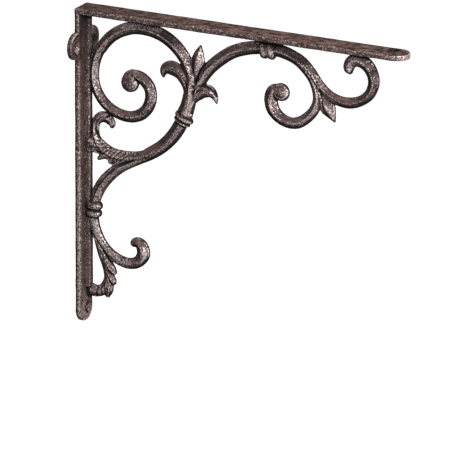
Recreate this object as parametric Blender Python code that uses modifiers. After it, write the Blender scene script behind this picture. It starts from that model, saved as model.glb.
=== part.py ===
"""Ornate shelf bracket, one iron casting.

Two flat arms meet at a right angle: the wall arm runs down the wall and the shelf arm
runs out under the shelf. Scrollwork fills the corner between them, in the middle plane.
X points out of the wall, Z points up, and Y runs along the wall. The origin is on the
flat back of the wall arm, midway between the two upper screw holes.
Sizes are in millimetres, and every mesh is made in metres.
"""
import math

import bmesh
import bpy
from mathutils import Matrix, Vector

NAME = "shelf_bracket"
MM = 0.001

# The two arms
REACH = 250.0            # shelf arm, from the wall to its tip
TOP = 27.0               # top face, above the origin
DROP = 196.8             # lower end of the wall arm, below the origin
THICK = 3.9              # plate of both arms
CORNER_HALF = 11.2       # half width where the arms meet
TIP_HALF = 9.2           # half width at the rounded tips
RIB_WIDE = 5.2
WALL_RIB = 3.6           # how far the rib stands off the wall arm
SHELF_RIB = 2.2          # how far the rib stands below the shelf arm
EDGE = 0.5               # worn edge of the plates

# Screw ears and holes
EAR_OUT = 11.0           # centre of each ear, to the side
EAR_UP = 1.0
EAR_RADIUS = 9.5
SHANK = 2.6              # radius of a screw's shank hole
SINK = 4.3               # radius of a countersink at the surface
EAR_HOLE_OUT = 11.9
TONGUE_HOLE = (3.6, -187.3)      # along the wall, and up
TIP_HOLE = (237.0, 3.6)          # out of the wall, and along it

# Scroll bars: half depth for each unit of half width
BAR_DEEP = 0.84
LEAF_DEEP = 0.64

# The large volute: quarter turns that shrink as they wind in.
# Each is centre x, centre z, radius, first angle, last angle and the width at its end.
VOLUTE_TURNS = (
    (48.5, -20.5, 37.8, 6.0, 50.0, 9.6),
    (48.5, -20.5, 37.8, 50.0, 110.0, 9.0),
    (48.5, -20.5, 37.8, 110.0, 150.0, 8.2),
    (48.2, -20.3, 37.9, 150.0, 180.0, 7.6),
    (36.8, -20.3, 26.5, 180.0, 270.0, 8.1),
    (36.8, -29.4, 17.4, 270.0, 360.0, 8.9),
    (42.1, -29.4, 12.1, 0.0, 95.0, 9.2),
    (40.6, -22.6, 5.4, 95.0, 170.0, 6.4),
)
VOLUTE_START = 9.0

# The other bars, as points of their middle lines: out, up and the bar's width there
ARCH = (
    (88.0, -24.0, 6.5), (91.0, -16.5, 8.0), (97.3, -6.0, 9.2), (106.4, 2.9, 9.2),
    (117.6, 10.5, 9.3), (130.0, 14.8, 9.2), (143.0, 16.3, 9.0), (155.0, 15.4, 9.2),
    (165.8, 11.6, 8.8), (174.2, 4.4, 8.2), (179.3, -4.2, 7.1), (181.2, -14.0, 6.9),
    (178.1, -23.2, 7.4), (170.0, -31.0, 7.8), (162.0, -33.8, 8.2), (154.0, -32.0, 8.6),
    (148.0, -26.8, 9.6), (145.9, -19.8, 10.0), (148.0, -13.6, 10.2), (153.2, -11.2, 7.4),
)
OUTER_SCROLL = (
    (158.0, 15.0, 7.4), (168.4, 11.2, 8.0), (176.4, 3.6, 8.0), (182.0, -3.4, 7.6),
    (189.0, -9.6, 7.4), (197.0, -13.0, 7.5), (205.4, -13.6, 7.7), (213.6, -11.0, 7.5),
    (220.0, -6.0, 7.6), (223.4, 1.4, 8.2), (222.8, 8.6, 8.9), (218.8, 14.8, 9.6),
    (212.6, 17.4, 9.4), (207.4, 16.0, 9.0), (205.0, 12.2, 8.4), (205.4, 9.4, 7.4),
    (206.2, 7.6, 3.6),
)
STEM = (
    (85.0, -15.0, 8.5), (84.4, -24.0, 10.2), (82.4, -33.0, 10.4), (79.4, -41.4, 10.0),
    (75.3, -49.5, 9.8), (69.9, -57.1, 9.7), (62.8, -64.2, 9.4), (53.9, -70.4, 9.2),
    (44.6, -76.0, 7.6), (35.0, -81.4, 7.2), (26.4, -87.0, 8.0), (19.6, -93.6, 8.8),
    (14.4, -101.0, 8.6), (11.0, -109.0, 8.3), (9.6, -117.0, 8.0), (9.8, -125.0, 7.7),
    (12.0, -132.6, 7.7), (16.2, -139.8, 7.4), (22.6, -146.2, 7.2), (30.0, -150.0, 7.3),
    (38.0, -151.2, 7.7), (44.6, -148.6, 8.4), (48.2, -142.8, 9.6), (46.8, -137.4, 9.2),
    (43.0, -135.4, 7.6), (39.6, -136.8, 4.8),
)
CURL = (
    (54.0, -70.4, 5.6), (44.0, -74.6, 8.4), (34.0, -76.4, 9.8), (24.4, -75.6, 10.2),
    (16.0, -71.4, 9.6), (11.6, -65.0, 7.6), (11.0, -58.4, 6.4), (12.3, -53.0, 6.8),
    (16.8, -49.6, 7.8), (21.4, -50.6, 7.6), (24.0, -53.8, 6.0), (23.7, -56.8, 2.4),
)
CURL_ROOT = ((20.0, -72.5, 8.0), (13.0, -71.2, 10.0), (7.0, -69.8, 12.6), (2.4, -69.0, 13.0))
CURL_LOBES = (
    ((19.0, -73.0, 7.6), (16.0, -77.6, 6.6), (13.4, -80.4, 2.2)),
    ((27.0, -77.0, 7.6), (23.0, -80.0, 5.2), (21.2, -81.8, 2.0)),
    ((35.0, -79.0, 7.0), (28.0, -82.0, 5.0), (23.8, -83.8, 2.0)),
)
LEG_LEAF = (
    (10.4, -128.0, 4.4), (13.0, -138.6, 5.4), (16.6, -147.4, 7.0), (20.6, -154.6, 8.4),
    (22.8, -161.6, 9.0), (21.8, -168.4, 9.4), (17.6, -173.4, 9.2), (11.4, -175.4, 8.8),
    (3.0, -174.6, 9.0),
)
LEG_LOBES = (
    ((20.0, -152.6, 6.6), (24.4, -157.2, 5.0), (27.8, -160.0, 1.8)),
    ((21.6, -161.6, 6.6), (24.6, -165.2, 4.8), (26.8, -167.8, 2.0)),
    ((19.6, -169.0, 7.6), (20.2, -174.6, 5.8), (19.9, -179.0, 2.0)),
    ((14.6, -173.0, 7.0), (12.6, -176.8, 6.6), (10.4, -179.6, 2.6)),
)
LEFT_LEAF = (
    (83.6, -27.0, 6.0), (81.4, -17.4, 8.0), (76.6, -10.4, 9.4), (70.6, -7.6, 10.2),
    (65.8, -8.8, 8.6), (63.8, -11.8, 5.4), (63.8, -14.8, 2.0),
)
RIGHT_LEAF = (
    (85.4, -29.0, 6.0), (89.8, -24.0, 8.6), (94.6, -20.8, 9.2), (99.2, -20.4, 9.0),
    (102.7, -23.0, 6.0), (104.6, -28.2, 1.8),
)
CENTRE_SPEAR = (
    (86.2, -22.0, 5.0), (87.8, -12.0, 7.6), (89.8, -1.6, 10.2), (91.1, 5.2, 7.6),
    (92.5, 11.2, 1.8),
)
SPLIT_SPEAR = (
    (180.8, -5.0, 4.0), (184.4, -12.4, 8.0), (188.8, -19.0, 11.4), (192.0, -24.2, 7.0),
    (194.4, -28.6, 1.6),
)

# Eyes of the two large volutes: centre x, centre z, radius and half depth
EYES = ((38.3, -22.4, 6.8, 4.4), (153.7, -13.1, 6.3, 4.2))
# Bands round the bars: centre x, centre z, tilt, half across, half depth and length
BANDS = (
    (79.1, -42.4, 28.0, 7.2, 5.8, 6.6),
    (10.2, -113.6, 4.0, 6.2, 5.0, 6.0),
    (9.9, -119.0, 0.0, 6.0, 4.8, 5.6),
    (140.7, 15.0, 90.0, 6.2, 4.8, 5.6),
    (145.9, 15.0, 90.0, 6.2, 4.8, 5.6),
)


def clear_scene():
    """Remove every object and collection of the open file."""
    for thing in list(bpy.data.objects):
        bpy.data.objects.remove(thing, do_unlink=True)
    for group in list(bpy.data.collections):
        bpy.data.collections.remove(group)


def collection(name):
    """Make a collection and link it to the scene."""
    group = bpy.data.collections.new(name)
    bpy.context.scene.collection.children.link(group)
    return group


def upright():
    """Turn a drawing in its own X and Y into the bracket's X and Z."""
    return Matrix.Rotation(math.radians(90.0), 4, "X")


def as_mesh(thing, name, group):
    """Replace a curve or modified object by a closed plain mesh in the same place."""
    bpy.context.view_layer.update()
    graph = bpy.context.evaluated_depsgraph_get()
    mesh = bpy.data.meshes.new_from_object(thing.evaluated_get(graph))
    work = bmesh.new()
    work.from_mesh(mesh)
    bmesh.ops.remove_doubles(work, verts=work.verts, dist=0.000001)
    bmesh.ops.recalc_face_normals(work, faces=work.faces)
    work.to_mesh(mesh)
    work.free()
    mesh.name = name
    piece = bpy.data.objects.new(name, mesh)
    piece.matrix_world = thing.matrix_world.copy()
    group.objects.link(piece)
    bpy.data.objects.remove(thing, do_unlink=True)
    return piece


def smooth_line(points, step):
    """Read a smooth curve through the points at nearly even steps, widths included."""
    pts = [Vector(p) for p in points]
    ends = [2 * pts[0] - pts[1]] + pts + [2 * pts[-1] - pts[-2]]
    line = []
    for i in range(1, len(ends) - 2):
        before, here, there, after = ends[i - 1:i + 3]
        length = (there - here).length
        count = max(2, round(length / step))
        for k in range(count):
            t = k / count
            line.append(0.5 * (2 * here + (there - before) * t
                               + (2 * before - 5 * here + 4 * there - after) * t ** 2
                               + (3 * here - before - 3 * there + after) * t ** 3))
    return line + [pts[-1]]


def volute_line(turns, width, step):
    """Read the stations of a volute made of arcs, with the width easing along each."""
    line = []
    for x, z, radius, first, last, end_width in turns:
        length = math.radians(abs(last - first)) * radius
        count = max(4, round(length / step))
        for k in range(0 if not line else 1, count + 1):
            t = k / count
            angle = math.radians(first + (last - first) * t)
            line.append(Vector((x + radius * math.cos(angle), z + radius * math.sin(angle),
                                width + (end_width - width) * t)))
        width = end_width
    return line


def section(deep):
    """Draw the ridged section of a bar of unit half width: six corners, a ridge each side."""
    curve = bpy.data.curves.new("section", "CURVE")
    curve.dimensions = "2D"
    spline = curve.splines.new("POLY")
    corners = ((1.0, 0.2), (0.0, deep), (-1.0, 0.2), (-1.0, -0.2), (0.0, -deep), (1.0, -0.2))
    spline.points.add(len(corners) - 1)
    for point, (across, depth) in zip(spline.points, corners):
        point.co = (across * MM, depth * MM, 0.0, 1.0)
    spline.use_cyclic_u = True
    return bpy.data.objects.new("section", curve)


def bar(name, line, deep, guides, group):
    """Sweep the ridged section along a line, with the line's widths as its radii."""
    profile = section(deep)
    guides.objects.link(profile)
    curve = bpy.data.curves.new(name, "CURVE")
    curve.dimensions = "2D"
    curve.bevel_mode = "OBJECT"
    curve.bevel_object = profile
    curve.use_fill_caps = True
    spline = curve.splines.new("POLY")
    spline.points.add(len(line) - 1)
    for point, (x, z, width) in zip(spline.points, line):
        point.co = (x * MM, z * MM, 0.0, 1.0)
        point.radius = width / 2.0
    thing = bpy.data.objects.new(name, curve)
    thing.matrix_world = upright()
    guides.objects.link(thing)
    piece = as_mesh(thing, name, group)
    bpy.data.objects.remove(profile, do_unlink=True)
    return piece


def eye(name, x, z, radius, deep, group):
    """A flattened ball at the heart of a volute."""
    mesh = bpy.data.meshes.new(name)
    work = bmesh.new()
    bmesh.ops.create_uvsphere(work, u_segments=18, v_segments=8, radius=radius * MM)
    bmesh.ops.scale(work, vec=(1.0, 1.0, deep / radius), verts=work.verts)
    work.to_mesh(mesh)
    work.free()
    piece = bpy.data.objects.new(name, mesh)
    piece.matrix_world = Matrix.Translation((x * MM, 0.0, z * MM)) @ upright()
    group.objects.link(piece)
    return piece


def band(name, x, z, tilt, across, deep, length, guides, group):
    """A short oval drum with rounded rims, its axis along the bar that it clasps."""
    mesh = bpy.data.meshes.new(name)
    work = bmesh.new()
    bmesh.ops.create_cone(work, cap_ends=True, segments=18, radius1=across * MM,
                          radius2=across * MM, depth=length * MM)
    bmesh.ops.scale(work, vec=(1.0, deep / across, 1.0), verts=work.verts)
    work.to_mesh(mesh)
    work.free()
    thing = bpy.data.objects.new(name, mesh)
    guides.objects.link(thing)
    rims = thing.modifiers.new("rims", "BEVEL")
    rims.width = 1.5 * MM
    rims.segments = 2
    rims.limit_method = "ANGLE"
    rims.angle_limit = math.radians(60.0)
    thing.matrix_world = (Matrix.Translation((x * MM, 0.0, z * MM))
                          @ Matrix.Rotation(math.radians(tilt), 4, "Y"))
    return as_mesh(thing, name, group)


def arm_outline(length):
    """Outline of an arm along +X: tapered sides and a half round tip."""
    centre = length - TIP_HALF
    points = [(0.0, CORNER_HALF), (0.0, -CORNER_HALF)]
    for k in range(17):
        angle = math.radians(-90.0 + 180.0 * k / 16)
        points.append((centre + TIP_HALF * math.cos(angle), TIP_HALF * math.sin(angle)))
    return points


def plate(name, outline, place, guides, group):
    """A flat plate of the arms' thickness, with a small chamfer on its edges."""
    curve = bpy.data.curves.new(name, "CURVE")
    curve.dimensions = "2D"
    curve.fill_mode = "BOTH"
    curve.extrude = THICK / 2.0 * MM
    spline = curve.splines.new("POLY")
    spline.points.add(len(outline) - 1)
    for point, (x, y) in zip(spline.points, outline):
        point.co = (x * MM, y * MM, 0.0, 1.0)
    spline.use_cyclic_u = True
    thing = bpy.data.objects.new(name, curve)
    thing.matrix_world = place
    guides.objects.link(thing)
    flat = as_mesh(thing, name + "_flat", guides)
    edge = flat.modifiers.new("edge", "BEVEL")
    edge.width = EDGE * MM
    edge.segments = 1
    edge.limit_method = "ANGLE"
    edge.angle_limit = math.radians(50.0)
    return as_mesh(flat, name, group)


def box(name, low, high, group):
    """A plain box between two corners."""
    mesh = bpy.data.meshes.new(name)
    work = bmesh.new()
    bmesh.ops.create_cube(work, size=1.0)
    size = [b - a for a, b in zip(low, high)]
    middle = [(a + b) / 2.0 for a, b in zip(low, high)]
    bmesh.ops.scale(work, vec=[s * MM for s in size], verts=work.verts)
    bmesh.ops.translate(work, vec=[m * MM for m in middle], verts=work.verts)
    work.to_mesh(mesh)
    work.free()
    piece = bpy.data.objects.new(name, mesh)
    group.objects.link(piece)
    return piece


def ear(name, side, guides, group):
    """A round screw ear beside the wall arm, as thick as its plate."""
    mesh = bpy.data.meshes.new(name)
    work = bmesh.new()
    bmesh.ops.create_cone(work, cap_ends=True, segments=28, radius1=EAR_RADIUS * MM,
                          radius2=EAR_RADIUS * MM, depth=(THICK - 0.02) * MM)
    work.to_mesh(mesh)
    work.free()
    thing = bpy.data.objects.new(name, mesh)
    guides.objects.link(thing)
    edge = thing.modifiers.new("edge", "BEVEL")
    edge.width = EDGE * MM
    edge.segments = 1
    edge.limit_method = "ANGLE"
    edge.angle_limit = math.radians(50.0)
    thing.matrix_world = (Matrix.Translation((THICK / 2.0 * MM, side * EAR_OUT * MM,
                                              EAR_UP * MM))
                          @ Matrix.Rotation(math.radians(90.0), 4, "Y"))
    return as_mesh(thing, name, group)


def hole(name, face, inward, group):
    """Cutter of a countersunk hole: face is the sink's centre, inward points into the iron."""
    mesh = bpy.data.meshes.new(name)
    work = bmesh.new()
    bmesh.ops.create_cone(work, cap_ends=True, segments=16, radius1=SHANK * MM,
                          radius2=SHANK * MM, depth=20.0 * MM)
    mesh_sink = bpy.data.meshes.new(name + "_sink")
    sink = bmesh.new()
    slope = SINK - SHANK
    bmesh.ops.create_cone(sink, cap_ends=True, segments=20, radius1=SHANK * 0.9 * MM,
                          radius2=(SINK + 3.0) * MM,
                          depth=(slope + 3.0 + SHANK * 0.1) * MM)
    lift = (slope + 3.0 + SHANK * 0.1) / 2.0 - slope - SHANK * 0.1
    bmesh.ops.translate(sink, vec=(0.0, 0.0, lift * MM), verts=sink.verts)
    work.to_mesh(mesh)
    sink.to_mesh(mesh_sink)
    work.free()
    sink.free()
    turn = Vector((0.0, 0.0, -1.0)).rotation_difference(Vector(inward)).to_matrix().to_4x4()
    place = Matrix.Translation([c * MM for c in face]) @ turn
    made = []
    for data in (mesh, mesh_sink):
        cutter = bpy.data.objects.new(data.name, data)
        cutter.matrix_world = place
        group.objects.link(cutter)
        made.append(cutter)
    return made


def iron():
    """Sand cast iron with a dark brown antique finish."""
    material = bpy.data.materials.new("antiqued cast iron")
    material.use_nodes = True
    shader = material.node_tree.nodes["Principled BSDF"]
    shader.inputs["Base Color"].default_value = (0.052, 0.034, 0.030, 1.0)
    shader.inputs["Metallic"].default_value = 0.35
    shader.inputs["Roughness"].default_value = 0.62
    material.diffuse_color = (0.10, 0.07, 0.06, 1.0)
    return material


def join(body, others, operation, guides):
    """Join or cut the body with the others, one exact Boolean each."""
    for other in others:
        step = body.modifiers.new(other.name, "BOOLEAN")
        step.operation = operation
        step.solver = "EXACT"
        step.object = other
    body = as_mesh(body, body.name, guides)
    for other in others:
        bpy.data.objects.remove(other, do_unlink=True)
    return body


def main():
    """Build the bracket as one closed casting."""
    clear_scene()
    bracket = collection(NAME)
    guides = collection("cutters")
    reach = arm_outline(REACH)
    drop = arm_outline(TOP + DROP)
    down = (Matrix.Translation((THICK / 2.0 * MM, 0.0, TOP * MM))
            @ Matrix.Rotation(math.radians(90.0), 4, "Y"))
    out = Matrix.Translation((0.0, 0.0, (TOP - THICK / 2.0) * MM))
    body = plate("shelf_arm", reach, out, guides, guides)
    half = RIB_WIDE / 2.0
    parts = [
        plate("wall_arm", drop, down, guides, guides),
        ear("left_ear", -1.0, guides, guides),
        ear("right_ear", 1.0, guides, guides),
        box("wall_rib", (1.0, -half, -172.0), (THICK + WALL_RIB, half, TOP - 1.0), guides),
        box("shelf_rib", (1.2, -half + 0.05, TOP - THICK - SHELF_RIB),
            (222.0, half - 0.05, TOP - 1.2), guides),
    ]
    bars = [("large_volute", volute_line(VOLUTE_TURNS, VOLUTE_START, 5.0), BAR_DEEP)]
    for name, points, deep, step in (
            ("arch", ARCH, BAR_DEEP, 4.6), ("outer_scroll", OUTER_SCROLL, BAR_DEEP, 4.2),
            ("stem", STEM, BAR_DEEP, 4.6), ("curl", CURL, LEAF_DEEP, 4.0),
            ("curl_root", CURL_ROOT, LEAF_DEEP * 0.8, 4.0),
            ("leg_leaf", LEG_LEAF, LEAF_DEEP, 4.0),
            ("left_leaf", LEFT_LEAF, LEAF_DEEP, 3.0),
            ("right_leaf", RIGHT_LEAF, LEAF_DEEP, 3.0),
            ("centre_spear", CENTRE_SPEAR, LEAF_DEEP, 4.0),
            ("split_spear", SPLIT_SPEAR, LEAF_DEEP * 0.9, 4.0)):
        bars.append((name, smooth_line(points, step), deep))
    for kind, lobes in (("curl_lobe", CURL_LOBES), ("leg_lobe", LEG_LOBES)):
        for number, points in enumerate(lobes, 1):
            bars.append((f"{kind}_{number}", smooth_line(points, 3.0), LEAF_DEEP))
    parts += [bar(name, line, deep, guides, guides) for name, line, deep in bars]
    parts += [eye(f"eye_{n}", *sizes, guides) for n, sizes in enumerate(EYES, 1)]
    parts += [band(f"band_{n}", *sizes, guides, guides) for n, sizes in enumerate(BANDS, 1)]
    body = join(body, parts, "UNION", guides)
    holes = []
    for side in (-1.0, 1.0):
        holes += hole(f"ear_hole_{int(side)}", (THICK, side * EAR_HOLE_OUT, 0.0),
                      (-1.0, 0.0, 0.0), guides)
    holes += hole("tongue_hole", (THICK, TONGUE_HOLE[0], TONGUE_HOLE[1]),
                  (-1.0, 0.0, 0.0), guides)
    holes += hole("tip_hole", (TIP_HOLE[0], TIP_HOLE[1], TOP - THICK),
                  (0.0, 0.0, 1.0), guides)
    body = join(body, holes, "DIFFERENCE", bracket)
    body.name = NAME
    body.data.name = NAME
    body.data.materials.clear()
    body.data.materials.append(iron())
    body.data.shade_smooth()
    body.data.set_sharp_from_angle(angle=math.radians(32.0))


main()
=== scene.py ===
"""Ornate shelf bracket: one sand-cast iron casting with an antiqued, hand-rubbed finish.

The wall arm runs down the wall, the shelf arm runs out under the shelf, and scrollwork
fills the corner between them. Millimetres are used throughout; meshes are made in metres.
X points out of the wall, Z up, and Y along the wall; the scrollwork's front faces -Y.
"""
import logging
import math
from dataclasses import dataclass, field
from enum import Enum
from typing import Any

import bpy
import numpy as np
from mathutils import Matrix, Vector


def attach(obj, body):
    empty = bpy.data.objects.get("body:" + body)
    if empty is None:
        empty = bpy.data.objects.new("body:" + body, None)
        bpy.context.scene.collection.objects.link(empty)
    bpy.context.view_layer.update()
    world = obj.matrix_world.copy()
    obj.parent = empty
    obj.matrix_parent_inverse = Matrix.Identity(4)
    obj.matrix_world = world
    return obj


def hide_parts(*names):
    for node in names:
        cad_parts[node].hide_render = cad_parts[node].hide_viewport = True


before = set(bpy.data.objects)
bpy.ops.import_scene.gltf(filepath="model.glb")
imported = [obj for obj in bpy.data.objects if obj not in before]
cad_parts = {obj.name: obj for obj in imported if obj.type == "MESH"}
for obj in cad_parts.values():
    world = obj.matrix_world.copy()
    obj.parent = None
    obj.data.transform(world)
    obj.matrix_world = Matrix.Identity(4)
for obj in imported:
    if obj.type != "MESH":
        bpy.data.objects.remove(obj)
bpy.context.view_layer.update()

LOG = logging.getLogger("bracket")
MM = 0.001
NODE = "shelf_bracket"
STEP = 0.8        # between the stations of a bar, in mm
SEED_STEP = 40    # between the seeds of a piece's layers, so that no two pieces share one
Line = tuple[tuple[float, float], ...]           # points out and up
Path = tuple[tuple[float, float, float], ...]    # points out and up, with a width


# Shapes as arrays

def ramp(values: np.ndarray, start: float | np.ndarray, end: float | np.ndarray) -> np.ndarray:
    """Rise evenly from 0 at start to 1 at end, and stay level beyond them.

    Args:
        values: what the ramp is read at.
        start: value where it leaves 0.
        end: value where it reaches 1, above or below start.

    Returns:
        The ramp's height for each value.
    """
    return np.clip((values - start) / (end - start), 0.0, 1.0)


def even_steps(line: np.ndarray, step: float) -> np.ndarray:
    """Read a line again at even steps: the arc length is summed up and interpolated.

    Args:
        line: stations as rows of out, up and width.
        step: distance between the new stations, in mm.

    Returns:
        The new stations.
    """
    run = np.concatenate(([0.0], np.cumsum(np.hypot(*np.diff(line[:, :2], axis=0).T))))
    at = np.linspace(0.0, run[-1], max(4, round(run[-1] / step)) + 1)
    return np.stack([np.interp(at, run, column) for column in line.T], axis=1)


def smooth_line(points: Path, step: float = STEP) -> np.ndarray:
    """Pass a smooth line through points, as the CAD does: a Catmull-Rom cubic between each two.

    Args:
        points: out, up and width of each point.
        step: distance between stations, in mm.

    Returns:
        Stations as rows of out, up and width.
    """
    p = np.asarray(points, dtype=float)
    p = np.vstack([2 * p[0] - p[1], p, 2 * p[-1] - p[-2]])
    before, here, there, after = (q[:, None, :] for q in (p[:-3], p[1:-2], p[2:-1], p[3:]))
    t = np.linspace(0.0, 1.0, 24, endpoint=False)[None, :, None]
    line = 0.5 * (2 * here + (there - before) * t
                  + (2 * before - 5 * here + 4 * there - after) * t ** 2
                  + (3 * here - before - 3 * there + after) * t ** 3)
    return even_steps(np.vstack([line.reshape(-1, 3), p[-2:-1]]), step)


def sampled(points: Line, step: float = 0.5 * STEP) -> np.ndarray:
    """Places along a groove: a smooth line through its points, without a width.

    Args:
        points: out and up of each point.
        step: distance between places, in mm.

    Returns:
        Places as rows of out and up.
    """
    return smooth_line(tuple((x, z, 1.0) for x, z in points), step)[:, :2]


def volute_line(turns: tuple[tuple[float, ...], ...], width: float) -> np.ndarray:
    """String arcs together into a volute: centre + radius * (cos, sin), the width easing on.

    Args:
        turns: centre out, centre up, radius, first and last angle, width at the end.
        width: width at the start.

    Returns:
        Stations as rows of out, up and width.
    """
    arcs = []
    for x, z, radius, first, last, end_width in turns:
        t = np.linspace(0.0, 1.0, 40)
        angle = np.radians(first + (last - first) * t)
        arcs.append(np.stack([x + radius * np.cos(angle), z + radius * np.sin(angle),
                              width + (end_width - width) * t], axis=1))
        width = end_width
    return even_steps(np.vstack(arcs), STEP)


@dataclass(frozen=True)
class Section:
    """Cross-section of a bar one half width wide: two sloping facets, front and back.

    Args:
        deep: how far the ridge stands out, for each unit of half width.
        shoulder: half height of the narrow side walls.
        soft: how much the ridge is rounded off.
        hollow: how far the facets are dished.
    """

    deep: float = 0.84
    shoulder: float = 0.2
    soft: float = 0.02
    hollow: float = 0.05

    def ring(self, count: int = 19) -> tuple[np.ndarray, np.ndarray]:
        """Points round the section.

        The height is shoulder + (deep - shoulder) * (1 - |u|), with |u| softened to
        the root of u * u + soft * soft, less hollow * sin(pi |u|).

        Args:
            count: points on each face.

        Returns:
            Places across and depths, front face first.
        """
        u = np.linspace(-1.0, 1.0, count)
        slope = (np.sqrt(u * u + self.soft ** 2) - self.soft) / (
            math.sqrt(1 + self.soft ** 2) - self.soft)
        height = (self.shoulder + (self.deep - self.shoulder) * (1 - slope)
                  - self.hollow * np.sin(np.pi * np.abs(u)))
        return np.concatenate([u, u[::-1]]), np.concatenate([-height, height])


@dataclass
class Shell:
    """A closed surface of quads, as arrays.

    Args:
        verts: places in mm, one row each.
        quads: four corners of each face.
    """

    verts: np.ndarray
    quads: np.ndarray

    @staticmethod
    def tube(rings: np.ndarray) -> "Shell":
        """Skin a stack of closed rings, with a strip of quads across both end rings.

        Args:
            rings: array of rings x points x 3, with an even number of points.

        Returns:
            The closed shell.
        """
        count, around = rings.shape[:2]
        i, j = np.meshgrid(np.arange(count - 1), np.arange(around), indexing="ij")
        here, there = i * around + j, i * around + (j + 1) % around
        sides = np.stack([here, there, there + around, here + around], -1).reshape(-1, 4)
        k = np.arange(around // 2 - 1)
        cap = np.stack([k, k + 1, around - 2 - k, around - 1 - k], -1)
        ends = [cap[:, ::-1], cap + (count - 1) * around]
        return Shell(rings.reshape(-1, 3), np.vstack([sides, *ends]))

    @staticmethod
    def joined(shells: list["Shell"]) -> "Shell":
        """Put shells side by side in one.

        Args:
            shells: the shells, which each stay closed on their own.

        Returns:
            One shell that holds them all.
        """
        starts = np.cumsum([0] + [len(s.verts) for s in shells[:-1]])
        return Shell(np.vstack([s.verts for s in shells]),
                     np.vstack([s.quads + n for s, n in zip(shells, starts)]))

    def moved(self, place: Matrix) -> "Shell":
        """The same shell turned and moved by a matrix in mm."""
        m = np.array(place)
        return Shell(self.verts @ m[:3, :3].T + m[:3, 3], self.quads)

    def mesh(self, name: str) -> bpy.types.Mesh:
        """Make a mesh in metres, its faces turned outwards.

        The volume is the sum of a . (b x c) + a . (c x d) over the faces; where it comes
        out negative, the faces point inwards and are all turned round.

        Args:
            name: name of the mesh.

        Returns:
            The mesh.
        """
        mesh = bpy.data.meshes.new(name)
        a, b, c, d = (self.verts[self.quads[:, k]] for k in range(4))
        volume = (np.einsum("ij,ij->i", a, np.cross(b, c))
                  + np.einsum("ij,ij->i", a, np.cross(c, d))).sum()
        quads = self.quads if volume > 0 else self.quads[:, ::-1]
        mesh.from_pydata(self.verts * MM, [], quads)
        mesh.update()
        return mesh


def bar(line: np.ndarray, section: Section, other: Section | None = None,
        span: tuple[float, float] = (0.0, 1.0), cap: float = 0.5) -> Shell:
    """Carry a section along a line in the middle plane, scaled by half the line's width.

    A ring is centre + across * normal, with its depth along Y. Past both ends the ring
    shrinks by a quarter circle, so that the bar ends rounded. With a second section, the
    depths are section + share * (other - section), where the share rises and falls again
    as a sine over the span, made steeper and cut off at 1.

    Args:
        line: stations as rows of out, up and width.
        section: the bar's cross-section.
        other: a second cross-section that takes over for part of the length.
        span: where along the bar it does so, from 0 to 1.
        cap: how far the rounded ends reach, for each unit of half width.

    Returns:
        The bar's closed shell.
    """
    along = np.gradient(line[:, :2], axis=0)
    along /= np.linalg.norm(along, axis=1, keepdims=True)
    t = np.linspace(0.0, 0.5 * np.pi, 7)[1:]
    half = line[:, 2] / 2.0
    reach = cap * np.sin(t)[:, None]
    blunt = 0.04
    size = np.maximum(np.cos(t), blunt)
    first = line[0, :2] - along[0] * reach * half[0]
    last = line[-1, :2] + along[-1] * reach * half[-1]
    centre = np.vstack([first[::-1], line[:, :2], last])
    half = np.concatenate([half[0] * size[::-1], half, half[-1] * size])
    along = np.vstack([np.repeat(along[:1], len(t), 0), along,
                       np.repeat(along[-1:], len(t), 0)])
    across, depth = section.ring()
    depth = np.repeat(depth[None], len(half), 0)
    if other:
        at, steep = ramp(np.linspace(0.0, 1.0, len(half)), *span), 1.6
        share = np.minimum(steep * np.sin(np.pi * at), 1.0)[:, None]
        depth = depth + share * (other.ring()[1] - depth)
    normal = np.stack([-along[:, 1], along[:, 0]], axis=1)
    flat = centre[:, None, :] + normal[:, None, :] * (half[:, None] * across)[..., None]
    return Shell.tube(np.stack([flat[..., 0], half[:, None] * depth, flat[..., 1]], -1))


def turned(radii: np.ndarray, heights: np.ndarray, around: int = 40) -> Shell:
    """Turn a profile about Z: each ring is radius * (cos, sin) at its own height.

    Args:
        radii: radius of each ring.
        heights: height of each ring.
        around: points round a ring.

    Returns:
        The closed shell.
    """
    angle = np.linspace(0.0, 2 * np.pi, around, endpoint=False)
    return Shell.tube(np.stack([radii[:, None] * np.cos(angle), radii[:, None] * np.sin(angle),
                                np.repeat(heights[:, None], around, 1)], -1))


def eye(x: float, z: float, radius: float, deep: float) -> Shell:
    """Flatten a ball for the heart of a volute: rings of radius sin(t), at depth cos(t).

    Args:
        x: centre, out of the wall.
        z: centre, up.
        radius: radius in the middle plane.
        deep: half depth, front to back.

    Returns:
        The closed shell.
    """
    pole = 0.03
    t = np.linspace(pole, np.pi - pole, 25)
    ball = turned(np.sin(t), np.cos(t), 48)
    place = (Matrix.Translation((x, 0.0, z)) @ Matrix.Rotation(math.radians(90.0), 4, "X")
             @ Matrix.Diagonal((radius, radius, deep, 1.0)))
    return ball.moved(place)


@dataclass(frozen=True)
class Band:
    """A collar cast round a bar.

    Args:
        x: centre, out of the wall.
        z: centre, up.
        tilt: turn of its axis from upright towards +X, in degrees.
        across: half width in the middle plane.
        deep: half depth, front to back.
        length: how much of the bar it covers.
        plump: power of its profile; 2 is a ring bead and 5 nearly a drum.
    """

    x: float
    z: float
    tilt: float
    across: float
    deep: float
    length: float
    plump: float = 3.0

    def shell(self) -> Shell:
        """Turn the superellipse r = (1 - |v| ** plump) ** (1 / plump), then stretch it.

        Returns:
            The collar's closed shell.
        """
        v = np.sin(np.linspace(-0.5, 0.5, 27) * np.pi * 0.995)
        r = np.maximum(1 - np.abs(v) ** self.plump, 1e-4) ** (1 / self.plump)
        drum = turned(r, v, 48)
        place = (Matrix.Translation((self.x, 0.0, self.z))
                 @ Matrix.Rotation(math.radians(self.tilt), 4, "Y")
                 @ Matrix.Diagonal((self.across, self.deep, self.length / 2, 1.0)))
        return drum.moved(place)


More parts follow.
